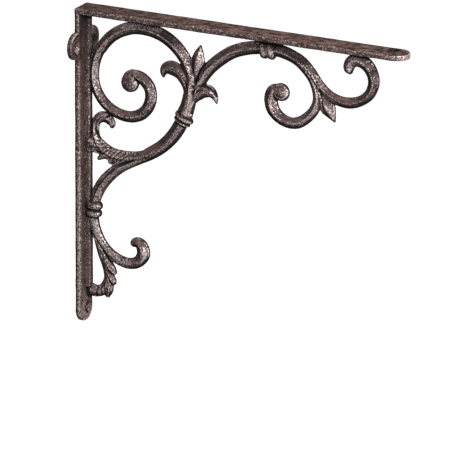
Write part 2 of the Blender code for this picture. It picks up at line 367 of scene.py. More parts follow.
def block(low: tuple[float, float, float], high: tuple[float, float, float]) -> Shell:
    """Make a plain block out of two square rings.

    Args:
        low: its lowest corner.
        high: its highest corner.

    Returns:
        The closed shell.
    """
    a, b = np.array(low, dtype=float), np.array(high, dtype=float)
    square = np.array([(0, 0), (1, 0), (1, 1), (0, 1)], dtype=float)
    rings = np.stack([np.column_stack([square, np.full(4, h)]) for h in (0.0, 1.0)])
    return Shell.tube(a + rings * (b - a))


def plate(length: float, root: float, tip: float, thick: float, worn: float) -> Shell:
    """A flat arm along +X: tapered, with a half round tip and rounded edges.

    The half width is root eased to tip, and the root of tip squared - s squared over the
    last radius. The section is a square-cornered ring whose corners are drawn in by worn.

    Args:
        length: from the wall to the tip.
        root: half width at the wall.
        tip: half width, and radius, at the tip.
        thick: thickness of the plate.
        worn: radius of the worn edges.

    Returns:
        The closed shell, its mid-plane at Z = 0.
    """
    straight, bends = 60, 5
    s = np.sin(np.linspace(0.0, 0.5 * np.pi, 22)[1:]) * 0.9995
    x = np.concatenate([np.linspace(0.0, length - tip, straight), length - tip + tip * s])
    half = np.minimum(root + (tip - root) * x / (length - tip), tip)
    half[straight:] = tip * np.sqrt(1 - s ** 2)
    turn = np.linspace(0.0, 0.5 * np.pi, bends)
    corner = np.stack([np.cos(turn), np.sin(turn)], 1) * worn
    signs = ((1, 1), (-1, 1), (-1, -1), (1, -1))
    rings = np.empty((len(x), len(signs) * bends, 3))
    for n, (a, b) in enumerate(signs):
        bend = corner if a * b > 0 else corner[::-1]
        side = np.maximum(half - worn, 0.01)[:, None] + bend[None, :, 0]
        points = slice(n * bends, (n + 1) * bends)
        rings[:, points, 1] = a * np.minimum(side, half[:, None])
        rings[:, points, 2] = b * (thick / 2 - worn + bend[:, 1])
    rings[..., 0] = x[:, None]
    return Shell.tube(rings)


def solid(shells: list[Shell], name: str, holes: list[Shell] | None = None,
          voxel: float = 0.0) -> bpy.types.Mesh:
    """Make shells into one mesh: cut its holes, then fuse it by a voxel remesh.

    Args:
        shells: closed shells, which may run through each other.
        name: name of the mesh.
        holes: closed cutters.
        voxel: size of the remesh in mm, or 0 for none.

    Returns:
        The finished mesh, in metres.
    """
    body = bpy.data.objects.new(name, Shell.joined(shells).mesh(name))
    bpy.context.scene.collection.objects.link(body)
    cutters = []
    for number, hole in enumerate(holes or []):
        cutter = bpy.data.objects.new(f"{name}_hole", hole.mesh(f"{name}_hole"))
        bpy.context.scene.collection.objects.link(cutter)
        cut = body.modifiers.new(f"hole {number}", "BOOLEAN")
        cut.operation, cut.solver, cut.object = "DIFFERENCE", "EXACT", cutter
        cut.use_self = True
        cutters.append(cutter)
    if voxel:
        fuse = body.modifiers.new("fuse", "REMESH")
        fuse.mode, fuse.voxel_size = "VOXEL", voxel * MM
    bpy.context.view_layer.update()
    graph = bpy.context.evaluated_depsgraph_get()
    mesh = bpy.data.meshes.new_from_object(body.evaluated_get(graph))
    for thing in [body, *cutters]:
        bpy.data.objects.remove(thing, do_unlink=True)
    mesh.name = name
    return mesh


def blended(lattice: np.ndarray, cells: np.ndarray, t: np.ndarray) -> np.ndarray:
    """Blend the eight corners of a lattice's cells, each weighted by t or 1 - t in X, Y and Z.

    Args:
        lattice: a value for each point, which repeats past the ends.
        cells: whole numbers of the cell of each place, one row each.
        t: where each place lies in its cell, from 0 to 1.

    Returns:
        A value for each place.
    """
    total = np.zeros(len(t))
    for corner in np.ndindex(2, 2, 2):
        weight = np.prod(np.where(corner, t, 1 - t), axis=1)
        total += weight * lattice[tuple(((cells + corner) % lattice.shape).T)]
    return total


def random_field(points: np.ndarray, size: float, seed: int) -> np.ndarray:
    """Smooth randomness: values on a lattice, blended with eased weights.

    Args:
        points: places in mm.
        size: spacing of the lattice in mm.
        seed: number of the pattern.

    Returns:
        A value between -1 and 1 for each place.
    """
    period = 32
    lattice = np.random.default_rng(seed).uniform(-1.0, 1.0, (period,) * 3)
    cells = np.floor(points / size).astype(int)
    t = points / size - cells
    return blended(lattice, cells, t * t * (3 - 2 * t))


# The cast surface

@dataclass
class CastSkin:
    """The fused surface of one piece, to be evened, carved, roughened and measured.

    Its places are in mm, its form is the places before they were roughened, its edges are
    pairs of vertices, and its share is 1 over the number of each vertex's neighbours.

    Args:
        mesh: the fused mesh, in metres.
    """

    mesh: bpy.types.Mesh
    form: np.ndarray = field(init=False)
    places: np.ndarray = field(init=False)
    edges: np.ndarray = field(init=False)
    share: np.ndarray = field(init=False)

    def __post_init__(self) -> None:
        """Read the vertices and edges as arrays."""
        count = len(self.mesh.vertices)
        co = np.empty(count * 3)
        self.mesh.vertices.foreach_get("co", co)
        self.places = co.reshape(-1, 3) / MM
        edges = np.empty(len(self.mesh.edges) * 2, dtype=np.int64)
        self.mesh.edges.foreach_get("vertices", edges)
        self.edges = edges.reshape(-1, 2)
        self.share = 1.0 / np.maximum(np.bincount(edges, minlength=count), 1)
        self.form = self.places

    def mean(self, values: np.ndarray) -> np.ndarray:
        """Average each vertex's neighbours: sums over the edges, divided by their number.

        Args:
            values: one value or row for each vertex.

        Returns:
            The means, in the same shape.
        """
        a, b = self.edges.T
        count = len(self.places)
        columns = values.reshape(count, -1)
        total = np.stack([np.bincount(a, c[b], count) + np.bincount(b, c[a], count)
                          for c in columns.T], axis=1)
        return (total * self.share[:, None]).reshape(values.shape)

    def eased(self, values: np.ndarray, rounds: int, pull: float = 0.6) -> np.ndarray:
        """Move values towards their neighbours' mean, a number of times.

        Args:
            values: one value or row for each vertex.
            rounds: how many times.
            pull: share of the way that they move each time.

        Returns:
            The eased values.
        """
        for _ in range(rounds):
            values = values + pull * (self.mean(values) - values)
        return values

    def write(self) -> None:
        """Put the places back into the mesh."""
        self.mesh.vertices.foreach_set("co", (self.places * MM).ravel())
        self.mesh.update()

    def normals(self) -> np.ndarray:
        """Read the normals at the vertices, after the places are put into the mesh.

        Returns:
            One unit vector for each vertex.
        """
        self.write()
        out = np.empty(len(self.places) * 3)
        self.mesh.vertex_normals.foreach_get("vector", out)
        return out.reshape(-1, 3)

    def carve(self, lines: list[np.ndarray], deep: float, wide: float) -> None:
        """Cut grooves into the front and back: in along the normal by deep * exp(-(d/wide)^2).

        Args:
            lines: the grooves' middle lines, as rows of out and up.
            deep: depth of a groove.
            wide: distance from its middle at which it has almost run out.
        """
        normals = self.normals()
        flat = self.places[:, [0, 2]]
        for line in lines:
            low, high = line.min(0) - 2 * wide, line.max(0) + 2 * wide
            near = np.flatnonzero(np.all((flat > low) & (flat < high), axis=1))
            gap = np.sqrt(((flat[near, None, :] - line[None]) ** 2).sum(-1)).min(1)
            cut = deep * np.exp(-(gap / wide) ** 2) * np.abs(normals[near, 1])
            self.places[near] -= normals[near] * cut[:, None]

    def roughen(self, size: float, height: float, seed: int) -> None:
        """Raise and lower the skin along its normal by a smooth random field.

        Args:
            size: size of the waves, in mm.
            height: how high they are, in mm.
            seed: number of their pattern.
        """
        self.places = self.places + self.normals() * (
            height * random_field(self.places, size, seed))[:, None]

    def store(self, name: str, values: np.ndarray) -> None:
        """Keep a value for each vertex as a named attribute for the material.

        Args:
            name: name of the attribute.
            values: one value for each vertex.
        """
        self.mesh.attributes.new(name, "FLOAT", "POINT").data.foreach_set(
            "value", values.astype(np.float32))


@dataclass
class WearAndLight:
    """Rub with painted light, and grime with painted shade, one value of each for every vertex.

    Args:
        skin: the finished skin.
        normals: its normals.
        rub_and_light: how rubbed it is, with painted light added, from -1 in hollows to about 1
        where it is bare.
        grime_and_shade: how much grime lies on it, with painted shade added, from 0 to about 1.
    """

    skin: CastSkin
    normals: np.ndarray
    rub_and_light: np.ndarray
    grime_and_shade: np.ndarray


@dataclass(frozen=True)
class Stroke:
    """A touch beside a line, front and back alike: some are rubbing and grime, some painted
    light and shade.

    Args:
        line: points out and up.
        low: where the touch starts, in mm to the left of the line's direction.
        high: where it ends.
        rub_and_light: what it adds to the rub; some strokes add painted light.
        grime_and_shade: what it adds to the grime; some strokes add painted shade.
        feather: width over which each side of it fades, in mm.
    """

    line: Line
    low: float
    high: float
    rub_and_light: float = 0.0
    grime_and_shade: float = 0.0
    feather: float = 0.8

    def lay(self, wear_and_light: WearAndLight) -> None:
        """Add the touch to rub and grime.

        The distance to the line counts as negative where the cross product of its
        direction and the way to the place is; places past the line's ends are left.

        Args:
            wear_and_light: rub and grime so far, changed in place.
        """
        line = sampled(self.line, 1.0)
        flat = wear_and_light.skin.form[:, [0, 2]]
        reach = max(-self.low, self.high) + 1.0
        near = np.flatnonzero(np.all((flat > line.min(0) - reach)
                                     & (flat < line.max(0) + reach), axis=1))
        away = flat[near, None, :] - line[None]
        at = np.hypot(away[..., 0], away[..., 1]).argmin(1)
        away = away[np.arange(len(near)), at]
        along = np.gradient(line, axis=0)[at]
        along /= np.linalg.norm(along, axis=1, keepdims=True)
        left = along[:, 0] * away[:, 1] - along[:, 1] * away[:, 0]
        gap = np.where(left < 0, -1.0, 1.0) * np.linalg.norm(away, axis=1)
        inside = np.minimum(gap - self.low, self.high - gap)
        share = ramp(inside, -0.5 * self.feather, 0.5 * self.feather)
        share *= ramp(np.abs((along * away).sum(1)), 1.6, 0.6)
        wear_and_light.rub_and_light[near] += self.rub_and_light * share
        wear_and_light.grime_and_shade[near] += self.grime_and_shade * share


@dataclass
class Crowding:
    """How much iron stands close by, on a lattice round the whole bracket.

    Its low is the lattice's lowest corner in mm, and its grid holds the areas.

    Args:
        clouds: places of all the pieces' vertices.
        weights: area that each cloud's vertices stand for.
        cell: spacing of the lattice, in mm.
        margin: how far it reaches past the iron, in mm.
    """

    clouds: list[np.ndarray]
    weights: list[float]
    cell: float = 1.0
    margin: float = 8.0
    low: np.ndarray = field(init=False)
    grid: np.ndarray = field(init=False)

    def __post_init__(self) -> None:
        """Count each cloud's area into the cells, then blur it with two box filters."""
        every = np.vstack(self.clouds)
        self.low = every.min(0) - self.margin
        high = every.max(0) + self.margin
        shape = tuple(((high - self.low) / self.cell).astype(int) + 2)
        grid = np.zeros(int(np.prod(shape)))
        for cloud, weight in zip(self.clouds, self.weights):
            cells = np.ravel_multi_index(
                tuple(np.round((cloud - self.low) / self.cell).astype(int).T), shape)
            grid += np.bincount(cells, minlength=len(grid)) * weight
        grid = grid.reshape(shape)
        for axis in range(3):
            for _ in range(2):
                grid = (np.roll(grid, 1, axis) + grid + np.roll(grid, -1, axis)) / 3.0
        self.grid = grid

    def at(self, places: np.ndarray) -> np.ndarray:
        """Read the lattice between its points: a straight blend of the eight round each.

        Args:
            places: places in mm.

        Returns:
            How much iron stands close by each place, as an area.
        """
        at = (places - self.low) / self.cell
        cells = np.clip(np.floor(at).astype(int), 0, np.array(self.grid.shape) - 2)
        return blended(self.grid, cells, at - cells)


# Finishes

def linear(colour: str) -> tuple[float, float, float, float]:
    """Turn an sRGB colour into the linear values that the shaders take.

    Args:
        colour: hex value, such as "#ffffff".

    Returns:
        Red, green, blue and alpha.
    """
    parts = [int(colour[i:i + 2], 16) / 255.0 for i in (1, 3, 5)]
    return tuple(c / 12.92 if c <= 0.04045 else ((c + 0.055) / 1.055) ** 2.4
                 for c in parts) + (1.0,)


def add_node(tree: bpy.types.NodeTree, kind: str, settings: dict[str, Any] | None = None,
             **inputs: Any) -> bpy.types.Node:
    """Add a node with its settings, values and links.

    Args:
        tree: the material's node tree.
        kind: type of the node.
        settings: properties of the node itself.
        **inputs: value or linked output of each input, named with _ for a space; an
            input known only by its number is named in0, in1 and so on.

    Returns:
        The new node.
    """
    made = tree.nodes.new(kind)
    for name, value in (settings or {}).items():
        setattr(made, name, value)
    for name, value in inputs.items():
        known = name[2:].isdigit() and name.startswith("in")
        socket = made.inputs[int(name[2:]) if known else name.replace("_", " ")]
        if isinstance(value, bpy.types.NodeSocket):
            tree.links.new(value, socket)
        else:
            socket.default_value = value
    return made


@dataclass(frozen=True)
class AntiquedCastIron:
    """Sand-cast iron, antiqued: brown-black lacquer, rubbed back by hand on what stands out.

    To the eye it is a rough, low-gloss brown skin with grey metal glints on the ridges,
    near-black hollows, and a redder bloom on the faces that look up and out. The same grey
    and near-black are also laid on as painted light and shade: painted highlights on lit
    facets, painted shade in corners, under the shelf arm and on what faces down.
    Sand grain is 0.2 to 0.4 mm on the real one, too fine for the picture, so the grain
    here is drawn at 0.8 mm, and the specks that the rubbing leaves a tenth coarser.

    Args:
        hollow: colour in crevices and on the side walls, of grime and of painted shade.
        brown: the lacquer's darker colour.
        tan: the lacquer's lighter colour.
        bloom: colour of the faces that look up and out.
        dusk: the dark streaks in that bloom.
        rubbed: colour of the rubbed iron, also laid on as painted highlights and light.
        grain: size of the sand grain as it is drawn, in mm.
        mottle: size of the lacquer's clouds, in mm.
        streak: width of the streaks that the lacquer's brush left, in mm; along X they
            are drawn two and a half times as long.
        relief: how deep the sand grain is, in mm.
        lacquer_rough: roughness of clean lacquer.
        grime_rough: roughness where grime lies thick.
        specular: strength of the lacquer's reflection, half of what new lacquer has.
    """

    hollow: str = "#100b0a"
    brown: str = "#2f2120"
    tan: str = "#544140"
    bloom: str = "#84635a"
    dusk: str = "#1f110e"
    rubbed: str = "#b9aeab"
    grain: float = 0.8
    mottle: float = 9.0
    streak: float = 2.0
    relief: float = 0.25
    lacquer_rough: float = 0.58
    grime_rough: float = 0.85
    specular: float = 0.25

    def material(self) -> bpy.types.Material:
        """Build the node material.

        Returns:
            The material, which reads the attributes rub and grime.
        """
        made = bpy.data.materials.new("sand-cast iron, antiqued")
        made.use_nodes = True
        tree = made.node_tree
        tree.nodes.clear()
        here = add_node(tree, "ShaderNodeTexCoord").outputs["Object"]
        rub_and_light = add_node(tree, "ShaderNodeAttribute", {"attribute_name": "rub_and_light"}).outputs["Fac"]
        grime_and_shade = add_node(tree, "ShaderNodeAttribute",
                         {"attribute_name": "grime_and_shade"}).outputs["Fac"]
        facing = add_node(tree, "ShaderNodeSeparateXYZ", Vector=add_node(
            tree, "ShaderNodeNewGeometry").outputs["Normal"]).outputs
        grain = add_node(tree, "ShaderNodeTexNoise", Vector=here, Scale=1000 / self.grain,
                         Detail=3.0, Roughness=0.65).outputs["Fac"]
        speck = add_node(tree, "ShaderNodeTexNoise", Vector=here,
                         Scale=1000 / (self.grain * 1.1), Detail=2.0).outputs["Fac"]
        cloud = add_node(tree, "ShaderNodeTexNoise", Vector=here, Scale=1000 / self.mottle,
                         Detail=5.0, Roughness=0.6).outputs["Fac"]
        drawn = add_node(tree, "ShaderNodeMapping", Vector=here,
                         Scale=(0.4, 1.0, 1.0)).outputs[0]
        streak = add_node(tree, "ShaderNodeTexNoise", Vector=drawn,
                          Scale=1000 / self.streak, Detail=6.0, Roughness=0.7).outputs["Fac"]

        # The lacquer lies in clouds of two browns
        share = add_node(tree, "ShaderNodeMapRange", Value=cloud, From_Min=0.38,
                         From_Max=0.62).outputs[0]
        lacquer = add_node(tree, "ShaderNodeMix", {"data_type": "RGBA"}, in0=share,
                           in6=linear(self.brown), in7=linear(self.tan)).outputs[2]
        # The faces that look up and out of the wall are drawn redder, in streaks
        share = add_node(tree, "ShaderNodeMapRange", Value=streak, From_Min=0.43,
                         From_Max=0.62).outputs[0]
        bloom = add_node(tree, "ShaderNodeMix", {"data_type": "RGBA"}, in0=share,
                         in6=linear(self.dusk), in7=linear(self.bloom)).outputs[2]
        up = add_node(tree, "ShaderNodeMapRange", Value=facing["Z"], From_Min=0.42,
                      From_Max=0.9).outputs[0]
        out = add_node(tree, "ShaderNodeMapRange", Value=facing["X"], From_Min=0.75,
                       From_Max=0.95, To_Max=0.35).outputs[0]
        share = add_node(tree, "ShaderNodeMath", {"operation": "MAXIMUM"}, in0=up,
                         in1=out).outputs[0]
        lacquer = add_node(tree, "ShaderNodeMix", {"data_type": "RGBA"}, in0=share,
                           in6=lacquer, in7=bloom).outputs[2]
        # Rubbed through where the form stands out, and painted light and highlights, in specks
        # as coarse as the grain
        share = add_node(tree, "ShaderNodeMapRange", Value=speck, From_Min=0.36,
                         From_Max=0.64, To_Min=-0.76, To_Max=0.76).outputs[0]
        share = add_node(tree, "ShaderNodeMath", {"operation": "ADD"}, in0=rub_and_light,
                         in1=share).outputs[0]
        bare = add_node(tree, "ShaderNodeMapRange", Value=share, From_Min=0.3,
                        From_Max=0.9).outputs[0]
        iron = add_node(tree, "ShaderNodeMix", {"data_type": "RGBA"}, in0=bare, in6=lacquer,
                        in7=linear(self.rubbed)).outputs[2]
        # Grime and painted shade fill the hollows; grime shows between the grains everywhere
        share = add_node(tree, "ShaderNodeMapRange", Value=grain, From_Min=0.34,
                         From_Max=0.62, To_Min=0.5, To_Max=-0.32).outputs[0]
        share = add_node(tree, "ShaderNodeMath", {"operation": "ADD"}, in0=grime_and_shade,
                         in1=share).outputs[0]
        sunk_and_shaded = add_node(tree, "ShaderNodeMapRange", Value=share, From_Min=0.1,
                        From_Max=0.8).outputs[0]
        iron = add_node(tree, "ShaderNodeMix", {"data_type": "RGBA"}, in0=sunk_and_shaded, in6=iron,
                        in7=linear(self.hollow)).outputs[2]
        # Bare metal is glossier than lacquer; grime and the upper faces are dull
        gloss = add_node(tree, "ShaderNodeMapRange", Value=sunk_and_shaded, To_Min=self.lacquer_rough,
                         To_Max=self.grime_rough).outputs[0]
        less = add_node(tree, "ShaderNodeMapRange", Value=bare, To_Max=0.13).outputs[0]
        gloss = add_node(tree, "ShaderNodeMath", {"operation": "SUBTRACT"}, in0=gloss,
                         in1=less).outputs[0]
        dust = add_node(tree, "ShaderNodeMapRange", Value=up, To_Max=0.25).outputs[0]
        gloss = add_node(tree, "ShaderNodeMath", {"operation": "ADD"}, in0=gloss,
                         in1=dust).outputs[0]
        metal = add_node(tree, "ShaderNodeMapRange", Value=bare, To_Min=0.1,
                         To_Max=0.55).outputs[0]
        bump = add_node(tree, "ShaderNodeBump", Strength=1.0, Distance=self.relief * MM,
                        Height=grain).outputs[0]
        shader = add_node(tree, "ShaderNodeBsdfPrincipled", Base_Color=iron, Metallic=metal,
                          Roughness=gloss, Normal=bump, Specular_IOR_Level=self.specular)
        add_node(tree, "ShaderNodeOutputMaterial", Surface=shader.outputs[0])
        return made


@dataclass(frozen=True)
class PaleStudioPaper:
    """Seamless matt paper, rolled out pale: an even near-white ground without gloss.

    Args:
        shade: colour of the paper.
        glow: light of its own, which keeps it even.
    """

    shade: str = "#f4f4f4"
    glow: float = 0.85

    def material(self) -> bpy.types.Material:
        """Build the node material, plain and matt.

        Returns:
            The material.
        """
        made = bpy.data.materials.new("matt studio paper")
        made.use_nodes = True
        tree = made.node_tree
        tree.nodes.clear()
        shader = add_node(tree, "ShaderNodeBsdfPrincipled", Base_Color=linear(self.shade),
                          Roughness=0.9, Emission_Color=linear("#ffffff"),
                          Emission_Strength=self.glow)
        add_node(tree, "ShaderNodeOutputMaterial", Surface=shader.outputs[0])
        return made


# The pieces

class Way(Enum):
    """Which way a countersunk hole goes into the iron."""

    INTO_WALL = (-1.0, 0.0, 0.0)
    UPWARDS = (0.0, 0.0, 1.0)


@dataclass(frozen=True)
class ScrewHole:
    """A countersunk hole.

    Args:
        face: centre of the countersink on the surface.
        way: the way it goes in.
        shine: how bright the lit side of its countersink is painted, a painted highlight.
        shade: how much painted shade lies on the other side.
        line: half width of the painted shadow line round its left edge.
        grime_and_shade: how dark the shank hole is painted, as painted shade.
        shank: radius of the screw's shank hole.
        sink: radius of the countersink at the surface.
    """

    face: tuple[float, float, float]
    way: Way
    shine: float = 0.0
    shade: float = 0.0
    line: float = 0.0
    grime_and_shade: float = 1.0
    shank: float = 2.6
    sink: float = 4.3

    def cutter(self) -> Shell:
        """Turn the hole's profile: a straight shank that opens at 45 degrees to the face.

        Returns:
            The closed shell to cut with, which stands 3 mm proud of the face.
        """
        proud, depth = 3.0, 12.0
        heights = np.array([-depth, self.shank - self.sink, 0.0, proud])
        radii = np.array([self.shank, self.shank, self.sink, self.sink + proud])
        turn = Vector((0.0, 0.0, -1.0)).rotation_difference(Vector(self.way.value))
        return turned(radii, heights, 36).moved(
            Matrix.Translation(self.face) @ turn.to_matrix().to_4x4())

    def away(self, places: np.ndarray) -> np.ndarray:
        """Measure the distance from the hole's axis.

        Args:
            places: places in mm.

        Returns:
            The distance of each place.
        """
        away = places - np.array(self.face)
        away = away - np.outer(away @ np.array(self.way.value), self.way.value)
        return np.linalg.norm(away, axis=1)


@dataclass
class Casting:
    """A part of the casting that is fused on its own and finished as one piece.

    Args:
        name: name of the piece.
        voxel: size of the remesh, in mm.
        seed: number of its random skin.
        strokes: where it has been rubbed more or less than the rest, and light and shade painted
            on.
        waves: size and height of each layer of its random skin, in mm.
        bare: height above the eased surface, in mm, at which it is rubbed bare.
        clear: distance off the skin, in mm, at which the iron close by is read.
        brightest: most that it is rubbed.
    """

    name: str = "casting"
    voxel: float = 0.5
    seed: int = 1
    strokes: tuple[Stroke, ...] = ()
    waves: tuple[tuple[float, float], ...] = ((7.0, 0.1), (2.4, 0.04), (1.2, 0.04))
    bare: float = 0.34
    clear: float = 1.5
    brightest: float = 0.7

    def shells(self) -> list[Shell]:
        """The closed shells that make it up."""
        raise NotImplementedError

    def screws(self) -> list[ScrewHole]:
        """The screw holes."""
        return []

    def creases(self) -> list[tuple[tuple[Line, ...], float, float]]:
        """The grooves to carve: lines, depth and width."""
        return []

    def handle(self, wear_and_light: WearAndLight) -> None:
        """Adjust rub and grime in place: hand rubbing, and painted light and shade."""

    def skin(self) -> CastSkin:
        """Fuse the shells, even the steps of the remesh, carve and roughen the skin.

        Returns:
            The skin, ready to be measured.
        """
        holes = [screw.cutter() for screw in self.screws()]
        skin = CastSkin(solid(self.shells(), self.name, holes, self.voxel))
        skin.places = skin.eased(skin.places, 1)
        for lines, deep, wide in self.creases():
            skin.carve([sampled(line) for line in lines], deep, wide)
        skin.form = skin.places.copy()
        for number, (size, height) in enumerate(self.waves):
            skin.roughen(size, height, self.seed + SEED_STEP * number)
        skin.write()
        return skin

    def measured(self, skin: CastSkin, crowding: Crowding) -> WearAndLight:
        """Measure where the skin is rubbed, where grime lies and where shade is painted.

        Rub is how far a vertex stands above the eased surface. Grime is how far the iron
        close by exceeds 1.3 times what stands round a flat face, and hollows hold it too;
        where the iron crowds close, it stands for both grime and painted shade.

        Args:
            skin: the finished skin.
            crowding: the iron round about.

        Returns:
            Rub and grime, before each piece adjusts them and paints its light and shade.
        """
        normals = skin.normals()
        proud = np.einsum("ij,ij->i", skin.form - skin.eased(skin.form, 10), normals)
        rub_and_light = np.clip(skin.eased(proud, 1) / self.bare, -1.0, 1.0)
        close = crowding.at(skin.places + normals * self.clear)
        grime_and_shade = np.clip((close / np.median(close) - 1.3) * 1.2, 0.0, 1.0)
        return WearAndLight(skin, normals, rub_and_light, np.maximum(grime_and_shade, np.clip(-rub_and_light * 1.3, 0.0, 1.0)))

    def dress(self, skin: CastSkin, crowding: Crowding,
              material: bpy.types.Material) -> bpy.types.Object:
        """Work out rub and grime, put the finish on and make the piece.

        Args:
            skin: the finished skin.
            crowding: the iron round about.
            material: the finish.

        Returns:
            The piece.
        """
        wear_and_light = self.measured(skin, crowding)
        self.handle(wear_and_light)
        for stroke in self.strokes:
            stroke.lay(wear_and_light)
        # Painted shade inside each shank hole
        for screw in self.screws():
            inside = screw.away(skin.places) < screw.shank + 0.35
            wear_and_light.grime_and_shade = np.maximum(wear_and_light.grime_and_shade, screw.grime_and_shade * inside)
        skin.store("rub_and_light", np.minimum(wear_and_light.rub_and_light, self.brightest))
        skin.store("grime_and_shade", wear_and_light.grime_and_shade)
        skin.mesh.shade_smooth()
        skin.mesh.materials.clear()
        skin.mesh.materials.append(material)
        piece = bpy.data.objects.new(self.name, skin.mesh)
        bpy.context.scene.collection.objects.link(piece)
        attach(piece, "root")
        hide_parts(NODE)
        LOG.info("%s: %d faces", self.name, len(skin.mesh.polygons))
        return piece


@dataclass
class ShelfArm(Casting):
    """The arm under the shelf, with its rib and the screw hole near its tip.

    Args:
        reach: from the wall to the tip.
        top: height of the top face.
        thick: thickness of the plate.
        root: half width at the wall.
        tip: half width at the tip.
        worn: radius of the worn edges.
        rib: half width of the rib, its lower face and its far end.
        screw: the screw hole.
    """

    name: str = "shelf_arm"
    voxel: float = 0.55
    seed: int = 3
    reach: float = 250.0
    top: float = 27.0
    thick: float = 3.9
    root: float = 11.2
    tip: float = 9.2
    worn: float = 0.8
    rib: tuple[float, float, float] = (2.55, 20.9, 222.0)
    screw: ScrewHole = ScrewHole((237.0, 3.6, 23.1), Way.UPWARDS)

    def shells(self) -> list[Shell]:
        """Make the plate, and the rib below it.

        Returns:
            Their closed shells, which run into each other by more than a millimetre.
        """
        flat = plate(self.reach, self.root, self.tip, self.thick, self.worn).moved(
            Matrix.Translation((0.0, 0.0, self.top - self.thick / 2)))
        half, low, far = self.rib
        inset = 1.2
        return [flat, block((inset, -half, low), (far, half, self.top - inset))]

    def screws(self) -> list[ScrewHole]:
        """The screw hole near the tip."""
        return [self.screw]

    def handle(self, wear_and_light: WearAndLight) -> None:
        """Rub the sides, with a painted highlight at the tip; dull the top; paint shade on the
        rib's sides.

        Args:
            wear_and_light: rub and grime as measured, changed in place.
        """
        x, y, _ = wear_and_light.skin.places.T
        flank = np.abs(wear_and_light.normals[:, 1]) > 0.6
        side, rib = flank & (np.abs(y) > 5.0), flank & (np.abs(y) < 4.0)
        top = wear_and_light.normals[:, 2] > 0.8
        # Painted highlight on the sides and the rounded end at the tip
        tip = ramp(x, 236.0, 244.0) * ~top
        wear_and_light.rub_and_light = np.select([side, top], [0.5 * wear_and_light.rub_and_light - 0.24, 0.5 * wear_and_light.rub_and_light - 0.35],
                             0.6 * wear_and_light.rub_and_light) + 0.38 * tip
        # Darker on the top: by the wall, round the screw and far out; painted shade along the
        # back edge
        by_wall, far_out = ramp(x, 80.0, 30.0), ramp(x, 150.0, 200.0)
        back_edge_shade = ramp(y - self.root + (self.root - self.tip) * x / self.reach, -2.4, -1.4)
        by_screw = ramp(self.screw.away(wear_and_light.skin.places), 5.4, 4.4)
        old = np.maximum(0.1 + 0.22 * by_wall + 0.5 * back_edge_shade, 0.75 * by_screw)
        dull = 0.14 * side * ramp(x, 90.0, 130.0) * (x < 234.0)
        grime_and_shade = 0.3 * wear_and_light.grime_and_shade + (old + 0.05 * far_out) * top + dull
        grime_and_shade = np.where(side | top, grime_and_shade, wear_and_light.grime_and_shade) - 0.1 * tip
        # Painted shade on the rib's sides, under the plate
        wear_and_light.grime_and_shade = np.maximum(grime_and_shade, 0.5 * rib)


class Side(Enum):
    """Which side of the wall arm an ear stands on."""

    LEFT = -1.0
    RIGHT = 1.0


